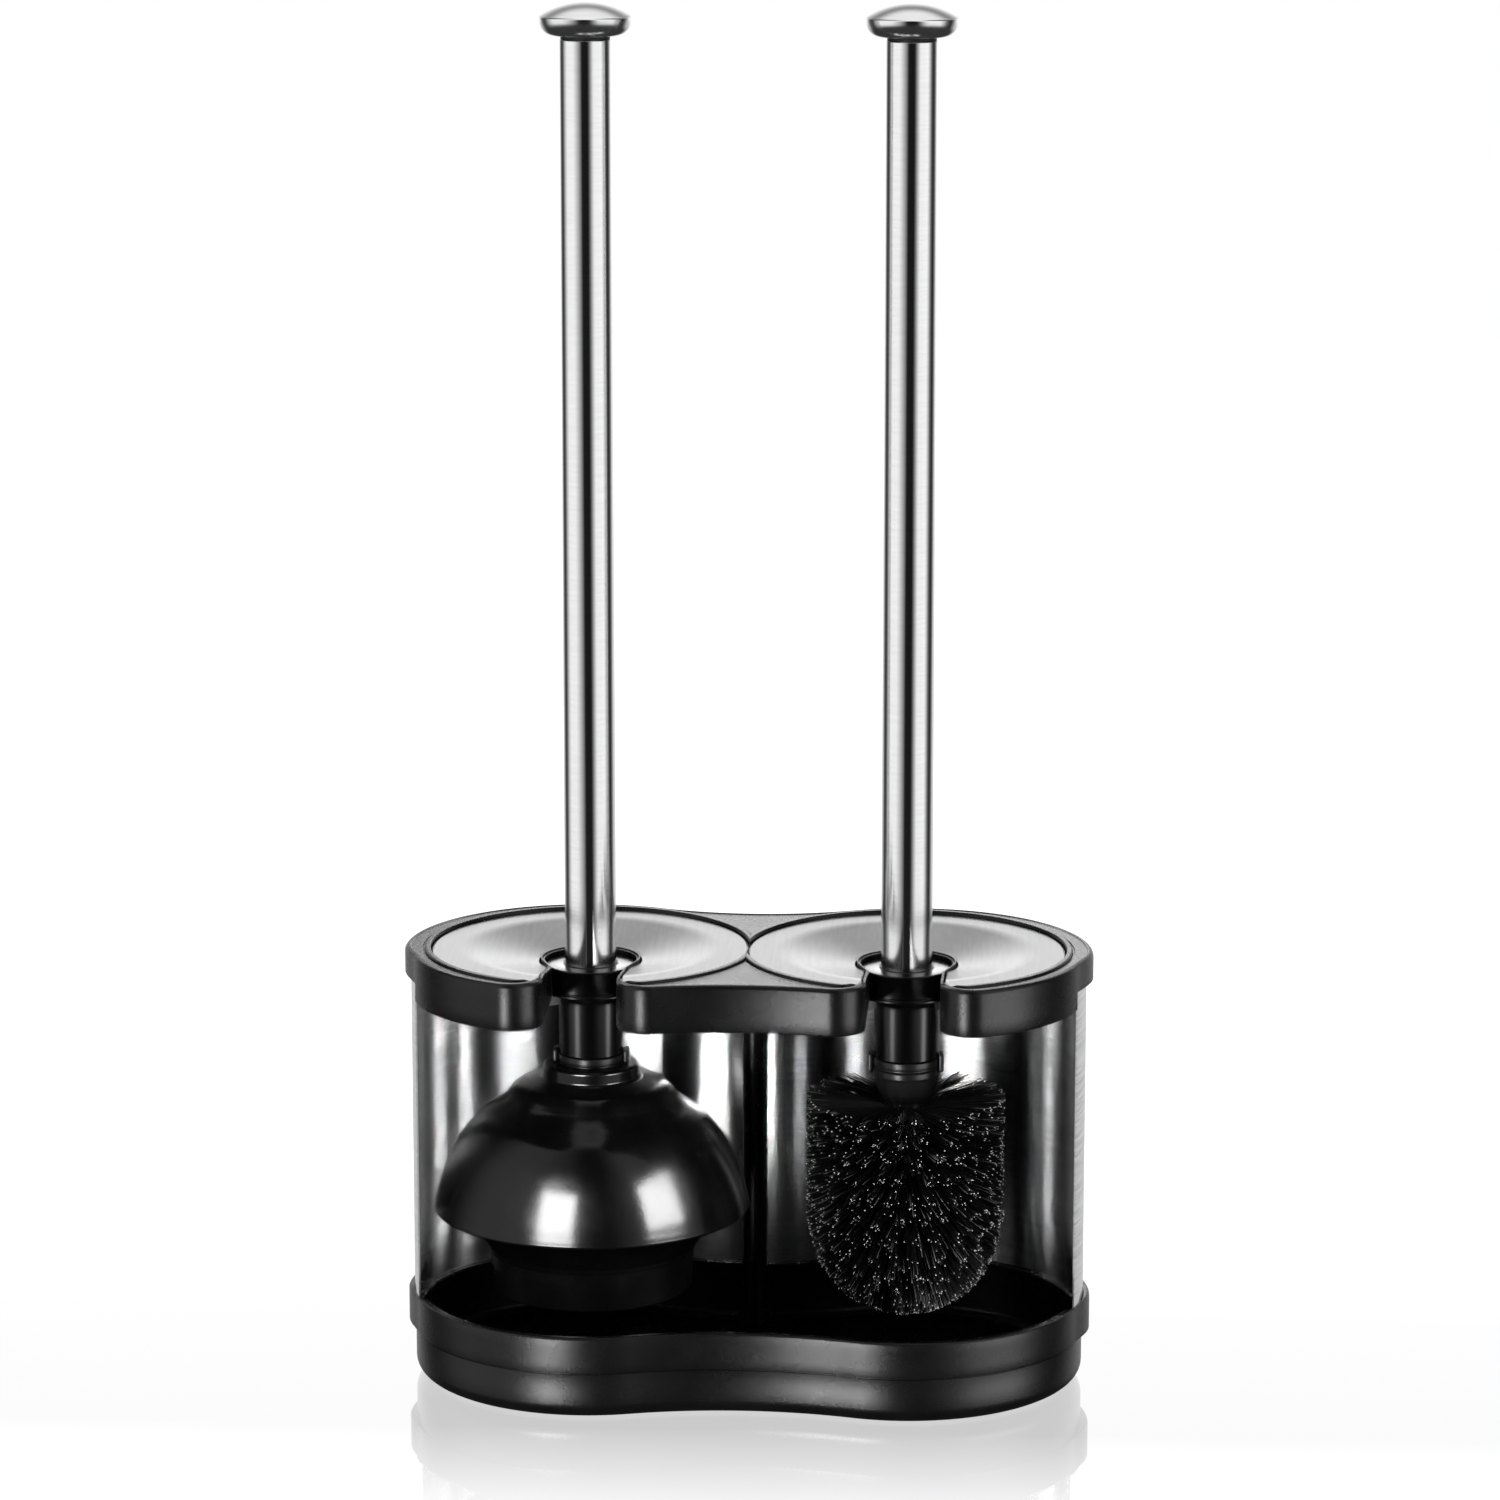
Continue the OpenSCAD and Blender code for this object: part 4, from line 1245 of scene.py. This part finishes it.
def soft_box(name, place, aim, size, radiance, pieces, blockers=None, fan=180):
    """Soft box of a given brightness that only lights some pieces; places are in metres."""
    data = bpy.data.lights.new(name, "AREA")
    data.shape = "RECTANGLE"
    data.size, data.size_y = size
    data.energy = radiance * pi * size[0] * size[1]
    data.spread = radians(fan)
    light = add_object(name, data)
    light.location = place
    light.rotation_euler = (Vector(place) - Vector(aim)).to_track_quat("Z", "Y").to_euler()
    light.visible_camera = False
    light.light_linking.receiver_collection = linked_set(name + "_lit", pieces)
    if blockers is not None:
        light.light_linking.blocker_collection = linked_set(name + "_shade", blockers)
        data.cycles.use_multiple_importance_sampling = False


def linked_set(name, pieces):
    """A collection of pieces, for light linking."""
    group = bpy.data.collections.new(name)
    for piece in pieces:
        group.objects.link(piece)
    return group


def direction(turn, rise):
    """Direction in degrees from the front towards the right, and above the horizon."""
    a, e = radians(turn), radians(rise)
    return Vector((sin(a) * cos(e), -cos(a) * cos(e), sin(e)))


def pieces_with(*looks):
    """All pieces with one of these looks' materials."""
    materials = [material for _, material in looks]
    return [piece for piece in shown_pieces() if piece.data.materials[0] in materials]


# Soft boxes for the black parts: degrees from the front and above, width, height, brightness
CUP_BOXES = (("key_left", -25, 17, 0.58, 0.66, 56), ("key_right", 58, 20, 0.68, 0.66, 44))
FRAME_BOXES = (("low_left", -25, -12, 0.2, 0.5, 42), ("low_right", 62, -10, 0.9, 0.5, 4),
               ("back", 180, 14, 0.5, 0.34, 2.2), ("edge", 180, 46, 1.8, 0.4, 7))
BRUSH_BOXES = (("tip_left", -30, 35, 0.4, 0.4, 30), ("tip_right", 35, 20, 0.4, 0.4, 30))
COLLAR_BOXES = (("back_collar", 180, 13, 1.6, 0.34, 6), ("neck_left", -48, -12, 0.3, 0.5, 9),
                ("neck_right", 68, -12, 0.3, 0.5, 8))
RIM_BOXES = (("rim", 172, 12, 0.14, 0.5, 7),)


def light_black_parts(cup, frame_parts, collars, tufts, floor):
    """The black parts take light that the steel doesn't mirror, so the steel keeps its bands."""
    lit = ((CUP_BOXES, cup, None), (FRAME_BOXES, frame_parts, None), (COLLAR_BOXES, collars, None),
           (BRUSH_BOXES, tufts, None), (RIM_BOXES, cup, [floor]))
    for boxes, pieces, blockers in lit:
        for name, turn, rise, width, height, radiance in boxes:
            place = Vector(SET_MIDDLE) + direction(turn, rise) * BOX_AWAY
            soft_box(name, place, SET_MIDDLE, (width, height), radiance, pieces, blockers)


# Strips mirrored in the steel wall: place across the wall, width of the stripe, shown brightness,
# the strip's distance from the wall and the height of its lower end
STRIPS = ((-125, 4.5, 0.72, 95, 15), (-115.7, 4.2, 0.85, 95, 15), (-97.3, 13.8, 0.85, 95, 15),
          (-46.5, 16, 1.0, 14, 30), (-17.3, 10.8, 1.05, 95, 48), (4.1, 8.2, 0.92, 95, 48),
          (18.2, 4.4, 0.55, 95, 45), (39.5, 12.3, 0.8, 95, 45), (83, 13.8, 1.0, 95, 30),
          (112.3, 2.5, 0.3, 95, 15), (117.5, 3, 0.62, 95, 15))
STRIP_TOP = 315
STRIP_GAIN = 0.34  # radiance of a strip that shows as white, found by trial
STRIP_FAN = 60  # degrees


def light_wall(wall, floor):
    """Upright strips inside the bays; each is where the front view is mirrored to by its stripe."""
    line = inset(wall_path(SHEET_R), SHEET_T)
    along, left = headings(np.gradient(line, axis=0))
    eye = np.array(bpy.context.scene.camera.location[:2]) / MM
    for k, (x, width, shown, away, low) in enumerate(STRIPS):
        i = int(np.argmin(np.abs(line[:, 0] - x) + (line[:, 1] < 0) * 1000))
        view = (line[i] - eye) / norm(line[i] - eye)
        facing = -float(view @ left[i])
        ray = view + 2 * facing * left[i]
        bend = hypot(*(along[i + 2] - along[i - 2])) / norm(line[i + 2] - line[i - 2])
        hollow = np.cross(along[i - 2], along[i + 2]) > 0
        focal = facing / (2 * bend) * (1 if hollow else -1)
        place = line[i] + ray * away
        middle_z = (low + STRIP_TOP) / 2 * MM
        size = (width * abs((away - focal) / focal) * MM, (STRIP_TOP - low) * MM)
        soft_box("strip_%d" % k, (*(place * MM), middle_z), (*(line[i] * MM), middle_z), size,
                 display(shown) * STRIP_GAIN, [wall], [floor], STRIP_FAN)


# The set

make_camera()
make_world()
floor_piece = make_floor()
make_tray()
make_pads()
make_post()
wall_piece = make_wall()
make_lid()
for disc_side in (-1, 1):
    make_disc(disc_side)
for tool_name, tool_at in TOOLS:
    make_knob(tool_name, tool_at)
    make_knob_ring(tool_name, tool_at)
    make_tube(tool_name, tool_at)
    make_adapter(tool_name, tool_at)
    make_socket(tool_name, tool_at)
cup_piece = make_cup()
make_core()
tuft_piece = make_bristles()
finish_cad_nodes()
light_black_parts([cup_piece], pieces_with(BLACK, SOCKET, FOOT), pieces_with(COLLAR), [tuft_piece],
                  floor_piece)
light_wall(wall_piece, floor_piece)
